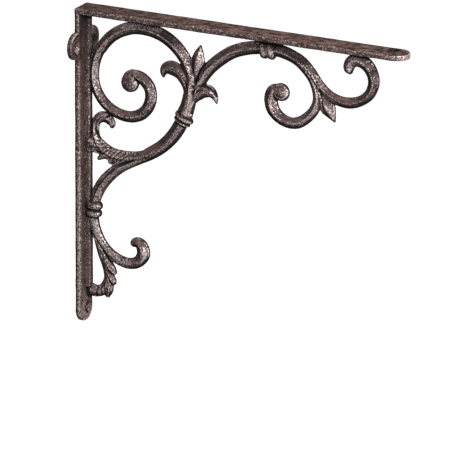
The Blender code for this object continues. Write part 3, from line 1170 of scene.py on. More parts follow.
@dataclass
class WallArm(Casting):
    """The arm on the wall, with its rib, two screw ears and three screw holes.

    Args:
        top: height of its upper end.
        drop: depth of its lower end.
        thick: thickness of the plate.
        root: half width at the corner.
        tip: half width at the tongue.
        worn: radius of the worn edges.
        rib: half width, front face and lower end of the rib.
        ear: centre to the side, centre up and radius.
        ear_hole: how far the hole in each ear is to the side.
        tongue_hole: place of the hole in the tongue, to the side and up.
    """

    name: str = "wall_arm"
    voxel: float = 0.55
    seed: int = 9
    top: float = 25.8
    drop: float = 196.8
    thick: float = 3.9
    root: float = 11.2
    tip: float = 9.2
    worn: float = 0.8
    rib: tuple[float, float, float] = (2.6, 8.0, -172.0)
    ear: tuple[float, float, float] = (11.0, 1.0, 9.5)
    ear_hole: float = 11.9
    tongue_hole: tuple[float, float] = (3.6, -187.3)

    def shells(self) -> list[Shell]:
        """Make the plate, the rib and the two ears.

        An ear is a turned disc. Its edge is a quarter circle above and one below, and it is
        a hair thinner than the plate, so that their faces don't coincide.

        Returns:
            Their closed shells, which run into each other.
        """
        upright = (Matrix.Translation((self.thick / 2, 0.0, 0.0))
                   @ Matrix.Rotation(math.radians(90.0), 4, "Y"))
        flat = plate(self.top + self.drop, self.root, self.tip, self.thick, self.worn).moved(
            Matrix.Translation((0.0, 0.0, self.top)) @ upright)
        half, front, low = self.rib
        inset = 1.0
        parts = [flat, block((inset, -half, low), (front, half, self.top - inset))]
        out, up, radius = self.ear
        turn, axis, hair = np.linspace(0.0, 0.5 * np.pi, 6), 0.05, 0.02
        edge = radius - self.worn * (1 - np.sin(turn))
        lift = self.thick / 2 - hair - self.worn * (1 - np.cos(turn))
        radii = np.concatenate([[axis], edge, edge[::-1], [axis]])
        heights = np.concatenate([[-lift[0]], -lift, lift[::-1], [lift[0]]])
        disc = turned(radii, heights, 64)
        return parts + [disc.moved(Matrix.Translation((0.0, side.value * out, up)) @ upright)
                        for side in Side]

    def screws(self) -> list[ScrewHole]:
        """Place the screw holes.

        Returns:
            The holes in the left ear, in the right ear and in the tongue.
        """
        shine, shade = {Side.LEFT: 0.1, Side.RIGHT: -0.08}, {Side.LEFT: 0.8, Side.RIGHT: 0.4}
        ears = [ScrewHole((self.thick, side.value * self.ear_hole, 0.0), Way.INTO_WALL,
                          shine[side], shade[side], line=0.8, grime_and_shade=0.0) for side in Side]
        tongue = ScrewHole((self.thick, *self.tongue_hole), Way.INTO_WALL, shine=-0.08,
                           shade=0.8, line=1.1, grime_and_shade=0.0)
        return [*ears, tongue]

    def face(self, wear_and_light: WearAndLight) -> np.ndarray:
        """Pick out the plate's front face, and the ears'.

        Args:
            wear_and_light: the skin and its normals.

        Returns:
            True for each vertex on it.
        """
        return (wear_and_light.normals[:, 0] > 0.6) & (wear_and_light.skin.places[:, 0] < self.thick + 1.0)

    def at_ears(self, wear_and_light: WearAndLight) -> np.ndarray:
        """Pick out the heights at which the ears stand, as True for each vertex there."""
        return np.abs(wear_and_light.skin.places[:, 2] - self.ear[1]) < self.ear[2] + 0.5

    def handle(self, wear_and_light: WearAndLight) -> None:
        """Rub and shade the plate, then paint light and shade on the ears and the countersinks.

        Args:
            wear_and_light: rub and grime as measured, changed in place.
        """
        self.rub_and_shade_plate(wear_and_light)
        self.light_and_shade_ears(wear_and_light)
        self.light_and_shade_countersinks(wear_and_light)

    def rub_and_shade_plate(self, wear_and_light: WearAndLight) -> None:
        """Rub the sides and face, more towards the tongue; paint shade on the rib and in the
        corners.

        Args:
            wear_and_light: rub and grime as measured, changed in place.
        """
        x, y, z = wear_and_light.skin.places.T
        wide, out, flank = np.abs(y), wear_and_light.normals[:, 0], np.abs(wear_and_light.normals[:, 1]) > 0.6
        low, high = ramp(z, 10.0, -90.0), ramp(z, -14.0, -6.0)
        face, ears = self.face(wear_and_light), self.at_ears(wear_and_light)
        side = flank & (wide > 5.0) & ~ears
        # The rib: painted shade on its left side and edge higher up, under the shelf arm, and on
        # its front
        front = (x > self.rib[1] - 1.2) & ~face
        ridge = high * (x > self.thick + 0.5) * (y < -0.4)
        # The face: painted shade beside the rib, in the top corner under the shelf arm and
        # along its right edge
        rib_corner_shade = face * ramp(wide, 9.4 - 1.2 * low, 7.0 - 1.2 * low) * ramp(z, -185.0, -170.0)
        corner = face * (wide < 9.0) * ramp(z, 6.0, 12.0)
        half = self.root - (self.root - self.tip) * (self.top - z) / (self.top + self.drop)
        right_edge_shade = (out > 0.0) * ramp(y - half, -2.2, -1.2)
        # The sides are dull along a stretch below the ears; the top end is painted dark,
        # as shadow under the shelf arm
        stretch = side * (z < -8.0) * ramp(z, -90.0, -50.0)
        top_end_shadow = (x > self.thick - 0.5) * ramp(z, 0.0, 20.0)
        # Lighter towards the tongue: on the face, the dark higher up is painted shade under the
        # shelf arm
        wear_and_light.rub_and_light = np.select([side, face], [0.5 * wear_and_light.rub_and_light + 0.24 * low - 0.04,
                                            0.45 * wear_and_light.rub_and_light + 0.24 * low - 0.19],
                             (0.5 - 0.4 * low) * wear_and_light.rub_and_light - 0.1 * front * low)
        wear_and_light.rub_and_light -= 0.3 * rib_corner_shade + 0.36 * ridge + 0.2 * corner
        wear_and_light.grime_and_shade = wear_and_light.grime_and_shade * np.where(side | face, 0.3, 0.6) + (
            0.34 * rib_corner_shade + 0.24 * ridge + 0.16 * corner + 0.75 * right_edge_shade
            + 0.14 * stretch + 0.3 * top_end_shadow)
        # Black where the plate meets the wall and round the ears' rims; painted shade on the
        # rib's front
        by_wall = 0.8 * (side & (x < 1.5))
        rib_front_shade = (0.85 - 0.3 * high) * (front & (y > -0.4))
        rim = 0.5 * ((out < 0.5) & ears & (wide > 9.0))
        wear_and_light.grime_and_shade = np.maximum.reduce([wear_and_light.grime_and_shade, by_wall + rib_front_shade, rim])

    def light_and_shade_ears(self, wear_and_light: WearAndLight) -> None:
        """Paint a highlight on the ears' upper rims with a shaded line inside; dull the face;
        lighten the right ear's shadow.

        Args:
            wear_and_light: rub and grime so far, changed in place.
        """
        x, y, z = wear_and_light.skin.places.T
        wide, ear = np.abs(y), self.at_ears(wear_and_light) & self.face(wear_and_light)
        radius = np.hypot(wide - self.ear[0], z - self.ear[1])
        # Painted highlight along each ear's upper rim, and painted shade in a line inside it
        above = (wide > 9.5) * ramp(z, 5.5, 7.0)
        bright = above * ramp(np.abs(radius - 8.9), 0.72, 0.12) * (x > self.thick - 0.6)
        line = above * ramp(np.abs(radius - 7.7), 0.96, 0.36) * self.face(wear_and_light)
        dull = 0.3 * (ear & (wide > 5.0))
        wear_and_light.rub_and_light += 0.9 * bright - 0.5 * line - dull
        wear_and_light.grime_and_shade = np.maximum(wear_and_light.grime_and_shade + dull, 1.3 * line) - 0.8 * bright
        # The right ear lies in shadow: painted light lifts it
        right = ear & (y > 9.0)
        wear_and_light.rub_and_light = np.where(right, 0.12, wear_and_light.rub_and_light)
        wear_and_light.grime_and_shade = np.where(right, -0.1, wear_and_light.grime_and_shade)

    def light_and_shade_countersinks(self, wear_and_light: WearAndLight) -> None:
        """Paint a highlight on each countersink's lit side, shade on the other and on its left
        edge.

        Args:
            wear_and_light: rub and grime so far, changed in place.
        """
        x, y, _ = wear_and_light.skin.places.T
        for screw in self.screws():
            away = screw.away(wear_and_light.skin.places)
            sunk_and_shaded = (away < screw.sink + 0.2) & (x < self.thick - 0.2)
            # Painted highlight on the lit side; painted shade on the other, and a shadow line at
            # the left
            lit = sunk_and_shaded & (wear_and_light.normals[:, 1] < 0.1) & (y < 9.0)
            wear_and_light.rub_and_light = np.where(lit, screw.shine, wear_and_light.rub_and_light)
            wear_and_light.grime_and_shade = np.where(sunk_and_shaded, np.where(lit, 0.0, screw.shade), wear_and_light.grime_and_shade)
            edge = (np.abs(away - screw.sink) < screw.line) & (y < screw.face[1] - 0.8)
            edge &= ~lit & (x > 0.0)
            wear_and_light.grime_and_shade = np.maximum(wear_and_light.grime_and_shade, np.where(edge, 1.25, wear_and_light.grime_and_shade))


@dataclass
class Scrollwork(Casting):
    """Bars and leaves in the middle plane, whose fronts and backs are rubbed.

    Args:
        scroll: cross-section of a bar.
        leaf: cross-section of a leaf.
    """

    scroll: Section = Section()
    leaf: Section = Section(deep=0.68, soft=0.06)

    @staticmethod
    def depth_share(skin: CastSkin) -> np.ndarray:
        """Compare each vertex's depth with the greatest one near it.

        The greatest depths are kept in cells of 1 mm, and each cell takes the most of its
        neighbours twice, so near means within 2 mm or so.

        Args:
            skin: the finished skin.

        Returns:
            A share from 0 in the middle plane to 1 on a ridge.
        """
        flat, deep, edge = skin.form[:, [0, 2]], np.abs(skin.form[:, 1]), 3
        cells = np.round(flat - flat.min(0)).astype(int) + edge
        relief = np.zeros(tuple(cells.max(0) + edge + 1))
        np.maximum.at(relief, tuple(cells.T), deep)
        for axis in (0, 1, 0, 1):
            relief = np.maximum.reduce([relief, np.roll(relief, 1, axis),
                                        np.roll(relief, -1, axis)])
        return deep / np.maximum(relief[tuple(cells.T)], 1.0)

    def handle(self, wear_and_light: WearAndLight) -> None:
        """Rub the fronts and backs; paint light and shade on facets by the way they face.

        The side walls stay dark: un-rubbed lacquer, and on what faces down painted shade.
        They are where a vertex's depth is under a third of the greatest one near it, or under
        three fifths on what faces down. Facets that face out of the wall get painted light,
        those that face it painted shade. What faces up and out is less rubbed, and close under
        the shelf it is painted black as the shelf's shadow. What faces down is painted black
        as shade.

        Args:
            wear_and_light: rub and grime as measured, changed in place.
        """
        out, _, up = wear_and_light.skin.eased(wear_and_light.normals, 3).T
        front = np.abs(wear_and_light.normals[:, 1]) > 0.55
        wall = 0.35 + 0.25 * ramp(up, 0.0, -0.4)
        side = ramp(self.depth_share(wear_and_light.skin), wall, wall - 0.08)
        sky = np.clip(up, 0.0, 0.5) * np.clip(out + 0.15, 0.0, 0.5)
        # Painted shade on what faces down; painted shadow close under the shelf
        under = 1.5 * np.clip(-up - 0.2 - 0.5 * np.abs(out), 0.0, 1.0)
        shelf_shadow = 4.0 * sky * ramp(wear_and_light.skin.form[:, 2], 4.0, 12.0)
        # Painted light on the facets that face out of the wall, painted shade on those that face
        # it
        wear_and_light.rub_and_light += (0.16 * front + 0.75 * np.clip(out, -0.5, 0.5) - 0.35 * np.abs(up)
                     - 2.4 * sky - side)
        wear_and_light.grime_and_shade = np.maximum(wear_and_light.grime_and_shade + under + shelf_shadow, side)


# Lines on the upper scrollwork that are used more than once
LEFT_LEAF_TOP: Line = ((66.5, -8.6), (69.0, -7.8), (72.0, -7.9), (75.5, -9.2), (78.0, -11.2))
SPEAR_RIDGE: Line = ((92.0, 9.0), (91.0, 0.0), (90.0, -9.0))


@dataclass
class UpperScrollwork(Scrollwork):
    """The large volute, the arch, the outer scroll, the leaf cup and their bands.

    Args:
        spear: cross-section of the split spear.
        volute: the large volute's arcs, as volute_line takes them, from the leaf cup on.
        volute_width: its width where it starts.
        arch: line of the arch, which ends in the second volute.
        outer: line of the outer scroll.
        stem_top: line of the bar that the leaf cup grows from.
        left_leaf: line of the cup's left leaf.
        right_leaf: line of the cup's right leaf.
        centre_spear: line of the spear between them.
        split_spear: line of the spear between the arch and the outer scroll.
        eyes: centre out, centre up, radius and half depth of each volute's eye.
        deep_lines: deep lines between the leaves of the cup, round the spears and an eye.
        fine_lines: fine lines along the leaves and bars, and between the collar's beads.
        bands: the ring below the cup and the collar on the arch.
    """

    name: str = "upper_scrollwork"
    voxel: float = 0.5
    seed: int = 15
    spear: Section = Section(deep=0.6, soft=0.08)
    volute_width: float = 9.0
    volute: tuple[tuple[float, ...], ...] = (
        (48.5, -20.5, 37.8, 6.0, 50.0, 9.6), (48.5, -20.5, 37.8, 50.0, 110.0, 9.0),
        (48.5, -20.5, 37.8, 110.0, 150.0, 8.2), (48.2, -20.3, 37.9, 150.0, 180.0, 7.6),
        (36.8, -20.3, 26.5, 180.0, 270.0, 8.1), (36.8, -29.4, 17.4, 270.0, 360.0, 8.9),
        (42.1, -29.4, 12.1, 0.0, 95.0, 9.2), (40.6, -22.6, 5.4, 95.0, 170.0, 6.4))
    arch: Path = (
        (88.0, -24.0, 6.5), (91.0, -16.5, 8.0), (97.3, -6.0, 9.2), (106.4, 2.9, 9.2),
        (117.6, 10.5, 9.3), (130.0, 14.8, 9.2), (143.0, 16.3, 9.0), (155.0, 15.4, 9.2),
        (165.8, 11.6, 8.8), (174.2, 4.4, 8.2), (179.3, -4.2, 7.1), (181.2, -14.0, 6.9),
        (178.1, -23.2, 7.4), (170.0, -31.0, 7.8), (162.0, -33.8, 8.2), (154.0, -32.0, 8.6),
        (148.0, -26.8, 9.6), (145.9, -19.8, 10.0), (148.0, -13.6, 10.2), (153.2, -11.2, 7.4))
    outer: Path = (
        (158.0, 15.0, 7.4), (168.4, 11.2, 8.0), (176.4, 3.6, 8.0), (182.0, -3.4, 7.6),
        (189.0, -9.6, 7.4), (197.0, -13.0, 7.5), (205.4, -13.6, 7.7), (213.6, -11.0, 7.5),
        (220.0, -6.0, 7.6), (223.4, 1.4, 8.2), (222.8, 8.6, 8.9), (218.8, 14.8, 9.6),
        (212.6, 17.4, 9.4), (207.4, 16.0, 9.0), (205.0, 12.2, 8.4), (205.4, 9.4, 7.4),
        (206.2, 7.6, 3.6))
    stem_top: Path = (
        (85.0, -15.0, 8.5), (84.4, -24.0, 10.2), (82.4, -33.0, 10.6), (80.2, -38.6, 11.4),
        (78.8, -42.0, 11.0))
    left_leaf: Path = (
        (83.6, -27.0, 6.0), (81.4, -17.4, 8.0), (76.6, -10.4, 9.4), (70.6, -7.6, 10.2),
        (65.8, -8.8, 8.6), (63.8, -11.8, 5.4), (63.8, -14.8, 2.0))
    right_leaf: Path = (
        (85.4, -29.0, 6.0), (89.8, -24.0, 8.6), (94.6, -20.8, 9.2), (99.2, -20.4, 9.0),
        (102.7, -23.0, 6.0), (104.6, -28.2, 1.8))
    centre_spear: Path = (
        (86.2, -22.0, 5.0), (87.8, -12.0, 7.6), (89.8, -1.6, 10.2), (91.1, 5.2, 7.6),
        (92.5, 11.2, 1.8))
    split_spear: Path = (
        (180.8, -5.0, 4.0), (184.4, -12.4, 8.0), (188.8, -19.0, 11.4), (192.0, -24.2, 7.0),
        (194.4, -28.6, 1.6))
    eyes: tuple[tuple[float, ...], ...] = ((38.3, -22.4, 6.8, 4.4), (153.7, -13.1, 6.3, 4.2))
    deep_lines: tuple[Line, ...] = (
        LEFT_LEAF_TOP + (
            (80.5, -14.0), (82.0, -17.0), (82.9, -20.0), (83.3, -24.0), (83.2, -28.0),
            (82.5, -32.0), (81.5, -35.0), (80.4, -38.0)),
        ((96.8, 0.4), (94.5, -3.5), (92.3, -7.0), (90.8, -11.0), (89.8, -15.5)),
        ((86.4, 3.0), (86.9, -2.0), (87.6, -7.0), (88.6, -11.5), (89.2, -15.0)),
        ((87.2, -23.0), (88.5, -20.3), (91.0, -17.8), (94.0, -16.8), (97.0, -16.8),
         (100.0, -17.9), (103.0, -20.0), (104.6, -22.3)),
        ((181.5, -1.5), (184.0, -6.0), (187.0, -9.0), (191.0, -11.2), (196.0, -13.6)),
        ((183.4, -7.5), (184.9, -11.5), (185.8, -16.0), (186.4, -20.0)),
        ((40.5, -16.3), (43.0, -18.0), (44.8, -19.8), (45.6, -22.0), (45.5, -24.5),
         (44.2, -26.4)))
    fine_lines: tuple[Line, ...] = (
        ((76.5, -0.8), (79.5, -2.5), (82.3, -6.5), (84.3, -10.5), (86.0, -14.5), (87.0, -18.0)),
        ((90.0, -20.6), (93.0, -19.8), (96.0, -20.2), (99.0, -20.9), (101.5, -22.0),
         (103.3, -24.2)),
        ((91.0, -28.0), (88.5, -31.0), (86.8, -34.0), (85.6, -38.0)),
        ((94.8, -6.2), (99.0, -1.9), (103.5, 1.2), (108.0, 4.6)),
        ((172.0, 7.5), (176.0, 3.0), (179.0, -1.0), (181.5, -4.5)),
        ((44.5, -16.8), (47.5, -18.6), (50.2, -21.2), (52.3, -24.5), (53.6, -28.5),
         (54.0, -32.0), (53.5, -35.5), (51.8, -39.0), (48.5, -42.4), (45.0, -44.4)),
        ((150.0, -9.4), (154.0, -8.4), (157.5, -9.8), (158.8, -12.5), (157.5, -15.0),
         (154.5, -16.2), (151.8, -14.8)),
        ((140.0, 20.0), (139.6, 15.0), (140.2, 10.0)),
        ((142.4, 20.0), (142.8, 15.0), (142.3, 10.0)),
        ((145.4, 20.0), (145.1, 15.0), (145.6, 10.0)),
        ((148.0, 20.0), (148.3, 15.0), (147.7, 10.0)))
    bands: tuple[Band, ...] = (
        Band(79.6, -41.4, 28.0, 7.3, 5.3, 4.4, 2.4), Band(78.1, -44.4, 28.0, 6.6, 4.9, 2.8, 2.2),
        Band(141.1, 15.0, 90.0, 6.2, 4.9, 5.8, 3.4), Band(146.5, 15.0, 90.0, 6.2, 4.9, 5.8, 3.4))
    strokes: tuple[Stroke, ...] = (
        # the left leaf, down to the ring below the cup
        Stroke(LEFT_LEAF_TOP + ((80.5, -14.0), (82.0, -17.0), (83.3, -24.0), (83.2, -28.0),
                                (82.5, -32.0), (80.4, -38.0)), -7.5, -0.6, -0.5, 0.05),
        Stroke(LEFT_LEAF_TOP, 0.5, 5.0, -0.25, 0.2),
        Stroke(((83.3, -24.0), (83.2, -28.0), (82.5, -32.0), (80.4, -38.0)), 0.6, 4.2, 0.25),
        # the right leaf's rim
        Stroke(((91.0, -17.8), (94.0, -16.8), (97.0, -16.8), (100.0, -17.9), (103.0, -20.0),
                (104.6, -22.3)), 0.3, 3.2, 0.35),
        # the middle spear's two facets: painted light on the one facing out, painted shade on
        # the other
        Stroke(SPEAR_RIDGE, 0.0, 4.0, 0.4, -0.2),
        Stroke(SPEAR_RIDGE, -5.0, -0.3, -0.45),
        # the arch's upper facet: painted shade under the shelf arm
        Stroke(((91.0, -16.0), (97.3, -6.0), (106.4, 2.9), (117.6, 10.5), (130.0, 14.8),
                (138.0, 16.0)), 0.0, 5.5, -0.04, 0.26),
        # the large volute: its inner turn, and its bar by the wall
        Stroke(((44.0, -45.5), (50.0, -42.0), (54.0, -36.0), (54.3, -28.0), (51.5, -21.5),
                (45.0, -17.6)), -4.6, 4.6, -0.2, 0.16),
        Stroke(((12.4, -6.0), (10.4, -15.0), (10.3, -24.0), (13.0, -34.0), (19.0, -42.0)),
               -4.6, -1.5, 0.45, -0.6),
        # where the volute and the arch meet the shelf arm: painted light over its shadow
        Stroke(((33.0, 17.0), (41.0, 19.8), (49.0, 20.8), (57.0, 19.8), (62.0, 18.2)), -1.8, 3.0,
               0.5, -1.0),
        Stroke(((122.0, 16.6), (130.0, 19.6), (138.0, 20.6)), -1.8, 3.0, 0.4, -0.9),
        # the large volute's eye
        Stroke(((36.0, -22.5), (38.3, -22.6), (40.5, -22.5)), -4.5, 4.5, -0.3),
        Stroke(((42.6, -18.6), (43.6, -21.0), (43.0, -24.4)), -0.7, 0.7, 0.25, -0.1),
        # the outer scroll: its right bar, its bottom, its top and its end
        Stroke(((213.6, -11.0), (220.0, -6.0), (223.4, 1.4), (222.8, 8.6), (218.8, 14.8)),
               -4.4, 4.4, -0.46, 0.22),
        Stroke(((189.0, -9.6), (197.0, -13.0), (205.4, -13.6), (213.6, -11.0)), -4.4, 4.4,
               -0.14, 0.1),
        Stroke(((220.5, 12.4), (218.8, 14.8), (212.6, 17.4), (207.4, 16.0)), -4.4, 4.4, 0.26,
               -0.75),
        Stroke(((205.2, 14.0), (204.4, 11.0), (204.6, 7.6)), -4.0, 4.0, 0.3, -0.1),
        # the second volute's eye
        Stroke(((152.4, -12.5), (154.2, -12.8), (158.0, -12.7)), -5.0, 5.0, -0.25, 0.22),
        Stroke(((156.6, -8.6), (158.3, -11.0), (158.4, -14.0), (156.6, -16.6)), -0.6, 0.6, 0.6,
               -0.3),
        # the arch's collar
        Stroke(((138.0, 13.0), (143.8, 13.0), (149.6, 13.0)), -6.0, 4.0, 0.25, 0.12),
        # the ring collar and the hollow above it
        Stroke(((73.0, -38.2), (79.6, -41.6), (86.0, -45.0)), -2.8, 2.8, -0.05, 0.05),
        Stroke(((80.6, -37.0), (83.4, -38.6), (86.4, -40.2)), -1.6, 1.6, 0.15, -0.7))

    def creases(self) -> list[tuple[tuple[Line, ...], float, float]]:
        """The deep lines and the fine ones."""
        return [(self.deep_lines, 1.0, 0.75), (self.fine_lines, 0.55, 0.6)]

    def shells(self) -> list[Shell]:
        """Make every bar, leaf, eye and band.

        Returns:
            Their closed shells, which run through each other where they meet.
        """
        parts = [bar(volute_line(self.volute, self.volute_width), self.scroll)]
        parts += [bar(smooth_line(path), self.scroll)
                  for path in (self.arch, self.outer, self.stem_top)]
        parts += [bar(smooth_line(path), self.leaf)
                  for path in (self.left_leaf, self.right_leaf, self.centre_spear)]
        parts.append(bar(smooth_line(self.split_spear), self.spear))
        parts += [eye(*sizes) for sizes in self.eyes]
        return parts + [band.shell() for band in self.bands]


# Lines on the hook's end that are used more than once
HOOK_RIDGE: Line = ((44.6, -148.6), (48.2, -142.8), (47.6, -139.0))
HOOK_END: Line = ((42.0, -149.9), (46.5, -146.6), (48.2, -142.8), (47.6, -139.0),
                  (45.0, -136.2))


@dataclass
class LowerScrollwork(Scrollwork):
    """The S-shaped stem with its hook, the curled leaf, the leg leaf and their bands.

    Args:
        plain: rounder cross-section of the stem below its collars.
        vein: cross-section of a leaf's lobe.
        root_section: flat cross-section of the curled leaf's root.
        stem: line of the stem, from the leaf cup to the tip of its hook.
        plain_span: where along the stem it is plain, from 0 to 1.
        curl: line of the curled leaf.
        curl_root: line of the curled leaf's root on the wall arm.
        curl_veins: lines of its lobes.
        leg_leaf: line of the leaf that stands on the wall arm's foot.
        leg_veins: lines of its lobes.
        bands: the two collars on the stem.
        curl_flutes: flutes cut between the curled leaf's lobes, front and back.
        leg_flutes: flutes cut between the leg leaf's lobes.
        seams: lines where two bars lie side by side.
    """

    name: str = "lower_scrollwork"
    voxel: float = 0.45
    seed: int = 21
    plain: Section = Section(deep=0.66, shoulder=0.3, soft=1.2, hollow=0.0)
    vein: Section = Section(deep=0.95, soft=0.08)
    root_section: Section = Section(deep=0.44)
    plain_span: tuple[float, float] = (0.5, 0.86)
    stem: Path = (
        (81.0, -37.6, 10.2), (79.4, -41.4, 10.0), (75.3, -49.5, 9.8), (69.9, -57.1, 9.7),
        (62.8, -64.2, 9.4), (53.9, -70.4, 9.2), (44.6, -76.0, 7.6), (35.0, -81.4, 7.2),
        (26.4, -87.0, 8.0), (19.6, -93.6, 8.8), (14.4, -101.0, 8.6), (11.0, -109.0, 8.3),
        (9.6, -117.0, 8.0), (9.8, -125.0, 7.7), (12.0, -132.6, 7.7), (16.2, -139.8, 7.4),
        (22.6, -146.2, 7.2), (30.0, -150.0, 7.3), (38.0, -151.2, 7.7), (44.6, -148.6, 8.4),
        (48.2, -142.8, 9.6), (46.8, -137.4, 9.2), (43.0, -135.4, 7.6), (39.6, -136.8, 4.8))
    curl: Path = (
        (54.0, -70.4, 5.6), (44.0, -74.6, 8.4), (34.0, -76.4, 9.8), (24.4, -75.6, 10.2),
        (16.0, -71.4, 9.6), (11.6, -65.0, 7.6), (11.0, -58.4, 6.4), (12.3, -53.0, 6.8),
        (16.8, -49.6, 7.8), (21.4, -50.6, 7.6), (24.0, -53.8, 6.0), (23.7, -56.8, 2.4))
    curl_root: Path = ((22.0, -73.0, 7.0), (14.0, -71.2, 10.5), (10.0, -69.0, 14.0),
                       (7.4, -67.6, 16.4))
    curl_veins: tuple[Path, ...] = (
        ((24.0, -74.0, 4.6), (18.4, -76.4, 5.6), (13.4, -80.0, 2.6)),
        ((31.0, -74.4, 4.6), (26.4, -77.4, 6.0), (22.0, -81.4, 3.0)),
        ((42.0, -75.6, 3.2), (36.0, -77.2, 5.0), (30.4, -79.8, 5.4), (24.6, -83.0, 2.8)))
    leg_leaf: Path = (
        (10.4, -128.0, 4.4), (13.0, -138.6, 5.4), (16.2, -147.4, 6.6), (19.6, -154.6, 7.4),
        (21.4, -161.6, 7.6), (20.6, -167.6, 7.8), (17.0, -172.6, 8.0), (12.4, -174.4, 8.2),
        (8.2, -173.9, 9.2))
    leg_veins: tuple[Path, ...] = (
        ((14.4, -141.0, 3.0), (18.6, -149.4, 5.4), (22.8, -155.8, 6.8), (26.2, -160.0, 4.2)),
        ((18.8, -156.0, 3.6), (21.8, -161.6, 6.2), (24.6, -165.8, 5.8), (25.6, -167.8, 3.6)),
        ((19.8, -163.0, 3.6), (21.6, -168.0, 6.0), (22.2, -172.4, 5.4), (20.8, -177.6, 2.4)),
        ((18.0, -168.0, 3.0), (19.4, -173.0, 4.0), (19.8, -177.6, 2.2)),
        ((17.0, -170.0, 3.0), (16.2, -173.6, 4.4), (15.0, -177.2, 2.6)),
        ((13.6, -171.6, 3.0), (12.8, -174.8, 4.2), (11.0, -178.0, 3.0)))
    bands: tuple[Band, ...] = (
        Band(10.3, -113.4, 4.0, 6.2, 5.1, 6.0, 2.8), Band(9.9, -119.0, 0.0, 6.0, 4.9, 5.6, 2.8))
    strokes: tuple[Stroke, ...] = (
        # the stem's inner facet, below the ring
        Stroke(((79.0, -43.0), (75.3, -49.5), (69.9, -57.1), (62.8, -64.2), (53.9, -70.4)),
               -5.0, 0.9, -0.35),
        # the stem's outer edge, above the collars
        Stroke(((42.0, -79.5), (34.0, -84.2), (27.5, -89.6), (22.0, -95.2), (17.6, -102.0),
                (14.6, -109.0)), -1.4, 1.8, 0.2, -0.6),
        # the flat of the hook bar, evenly
        Stroke(((9.6, -121.0), (9.8, -125.0), (12.0, -132.6), (16.2, -139.8), (22.6, -146.2),
                (30.0, -150.0), (36.0, -151.1)), -3.4, 3.4, 0.32),
        # the hook's end: a brown facet, a painted highlight on the ridge, a darker edge
        Stroke(HOOK_END, -1.3, 5.0, -0.4),
        Stroke(HOOK_RIDGE, -3.2, -1.5, 0.6, -0.4),
        Stroke(HOOK_END, -3.9, -3.5, -0.2, 0.7),
        Stroke(HOOK_RIDGE, -6.0, -4.1, -0.15, 0.1),
        # the collars
        Stroke(((3.5, -113.0), (10.3, -113.4), (17.0, -113.9)), -3.3, 3.3, 0.0, 0.12),
        Stroke(((3.5, -119.0), (10.0, -119.0), (16.5, -119.0)), -3.1, 3.1, 0.0, 0.12),
        # the leg leaf's second lobe, duller
        Stroke(((20.0, -158.5), (23.0, -163.0), (25.6, -167.8)), -3.0, 3.0, -0.22),
        # the curled leaf
        Stroke(((10.0, -67.0), (18.0, -72.0), (28.0, -76.0), (42.0, -75.0)), -6.0, 6.0, 0.15,
               -0.15),
        Stroke(((12.0, -77.5), (18.0, -79.0), (24.0, -81.0), (29.0, -81.5)), -3.2, 3.2, 0.3,
               -0.5))
    curl_flutes: tuple[Line, ...] = (
        ((22.5, -78.5), (24.5, -75.5), (27.5, -72.0), (30.0, -70.8)),
        ((24.4, -80.0), (27.0, -76.4), (30.5, -72.9), (32.6, -71.4)),
        ((28.0, -79.0), (31.5, -75.6), (34.8, -73.0)),
        ((30.4, -79.4), (34.0, -76.4), (36.4, -74.4)),
        ((14.0, -75.0), (17.5, -75.7), (20.0, -73.6), (22.2, -71.8), (24.8, -70.6)),
        ((6.0, -73.4), (9.0, -72.2), (14.0, -71.4), (20.0, -70.6), (24.0, -70.4)),
        ((5.6, -69.4), (9.0, -68.8), (12.6, -68.6), (18.0, -68.6)),
        ((6.2, -64.6), (9.4, -65.0), (12.0, -66.4), (15.0, -66.6)),
        ((21.0, -76.4), (23.5, -73.6), (26.5, -71.0)))
    leg_flutes: tuple[Line, ...] = (
        ((15.6, -145.0), (18.4, -149.4), (20.8, -152.2), (24.0, -156.0), (27.0, -160.0)),
        ((18.0, -144.0), (20.6, -148.4), (23.2, -151.4), (26.0, -154.4)),
        ((19.6, -157.8), (22.5, -159.0), (25.0, -160.4), (28.0, -161.8)),
        ((20.6, -160.4), (22.4, -163.6), (24.0, -166.6), (27.4, -168.8)),
        ((20.4, -165.0), (22.0, -169.0), (22.8, -173.0), (22.0, -176.6)),
        ((18.6, -168.5), (19.0, -172.0), (19.4, -176.6)),
        ((16.4, -170.5), (16.2, -173.0), (16.6, -176.4)),
        ((13.4, -171.5), (12.8, -174.0), (12.0, -177.0)))
    seams: tuple[Line, ...] = (
        ((50.5, -73.9), (45.0, -76.0), (37.0, -79.0), (30.0, -82.2), (25.0, -86.0),
         (20.0, -91.0), (15.0, -97.4), (11.6, -104.0)),
        ((8.4, -132.6), (13.6, -138.6), (17.6, -144.0), (20.4, -147.0), (25.0, -150.0)),
        ((22.0, -48.4), (16.2, -50.0), (12.9, -54.0), (12.1, -58.0), (13.0, -61.6),
         (15.4, -65.0)))

    def creases(self) -> list[tuple[tuple[Line, ...], float, float]]:
        """Flutes on the leaves, and the seams along the stem."""
        return [(self.curl_flutes, 0.65, 0.5), (self.leg_flutes, 0.65, 0.65),
                (self.seams, 1.0, 0.8)]

    def shells(self) -> list[Shell]:
        """Make every bar, leaf, lobe and band.

        Returns:
            Their closed shells, which run through each other where they meet.
        """
        parts = [bar(smooth_line(self.stem), self.scroll, self.plain, self.plain_span)]
        parts += [bar(smooth_line(path), self.leaf, cap=0.25)
                  for path in (self.curl, self.leg_leaf)]
        parts.append(bar(smooth_line(self.curl_root), self.root_section, cap=0.2))
        parts += [bar(smooth_line(path), self.vein)
                  for path in self.curl_veins + self.leg_veins]
        return parts + [band.shell() for band in self.bands]


# The studio

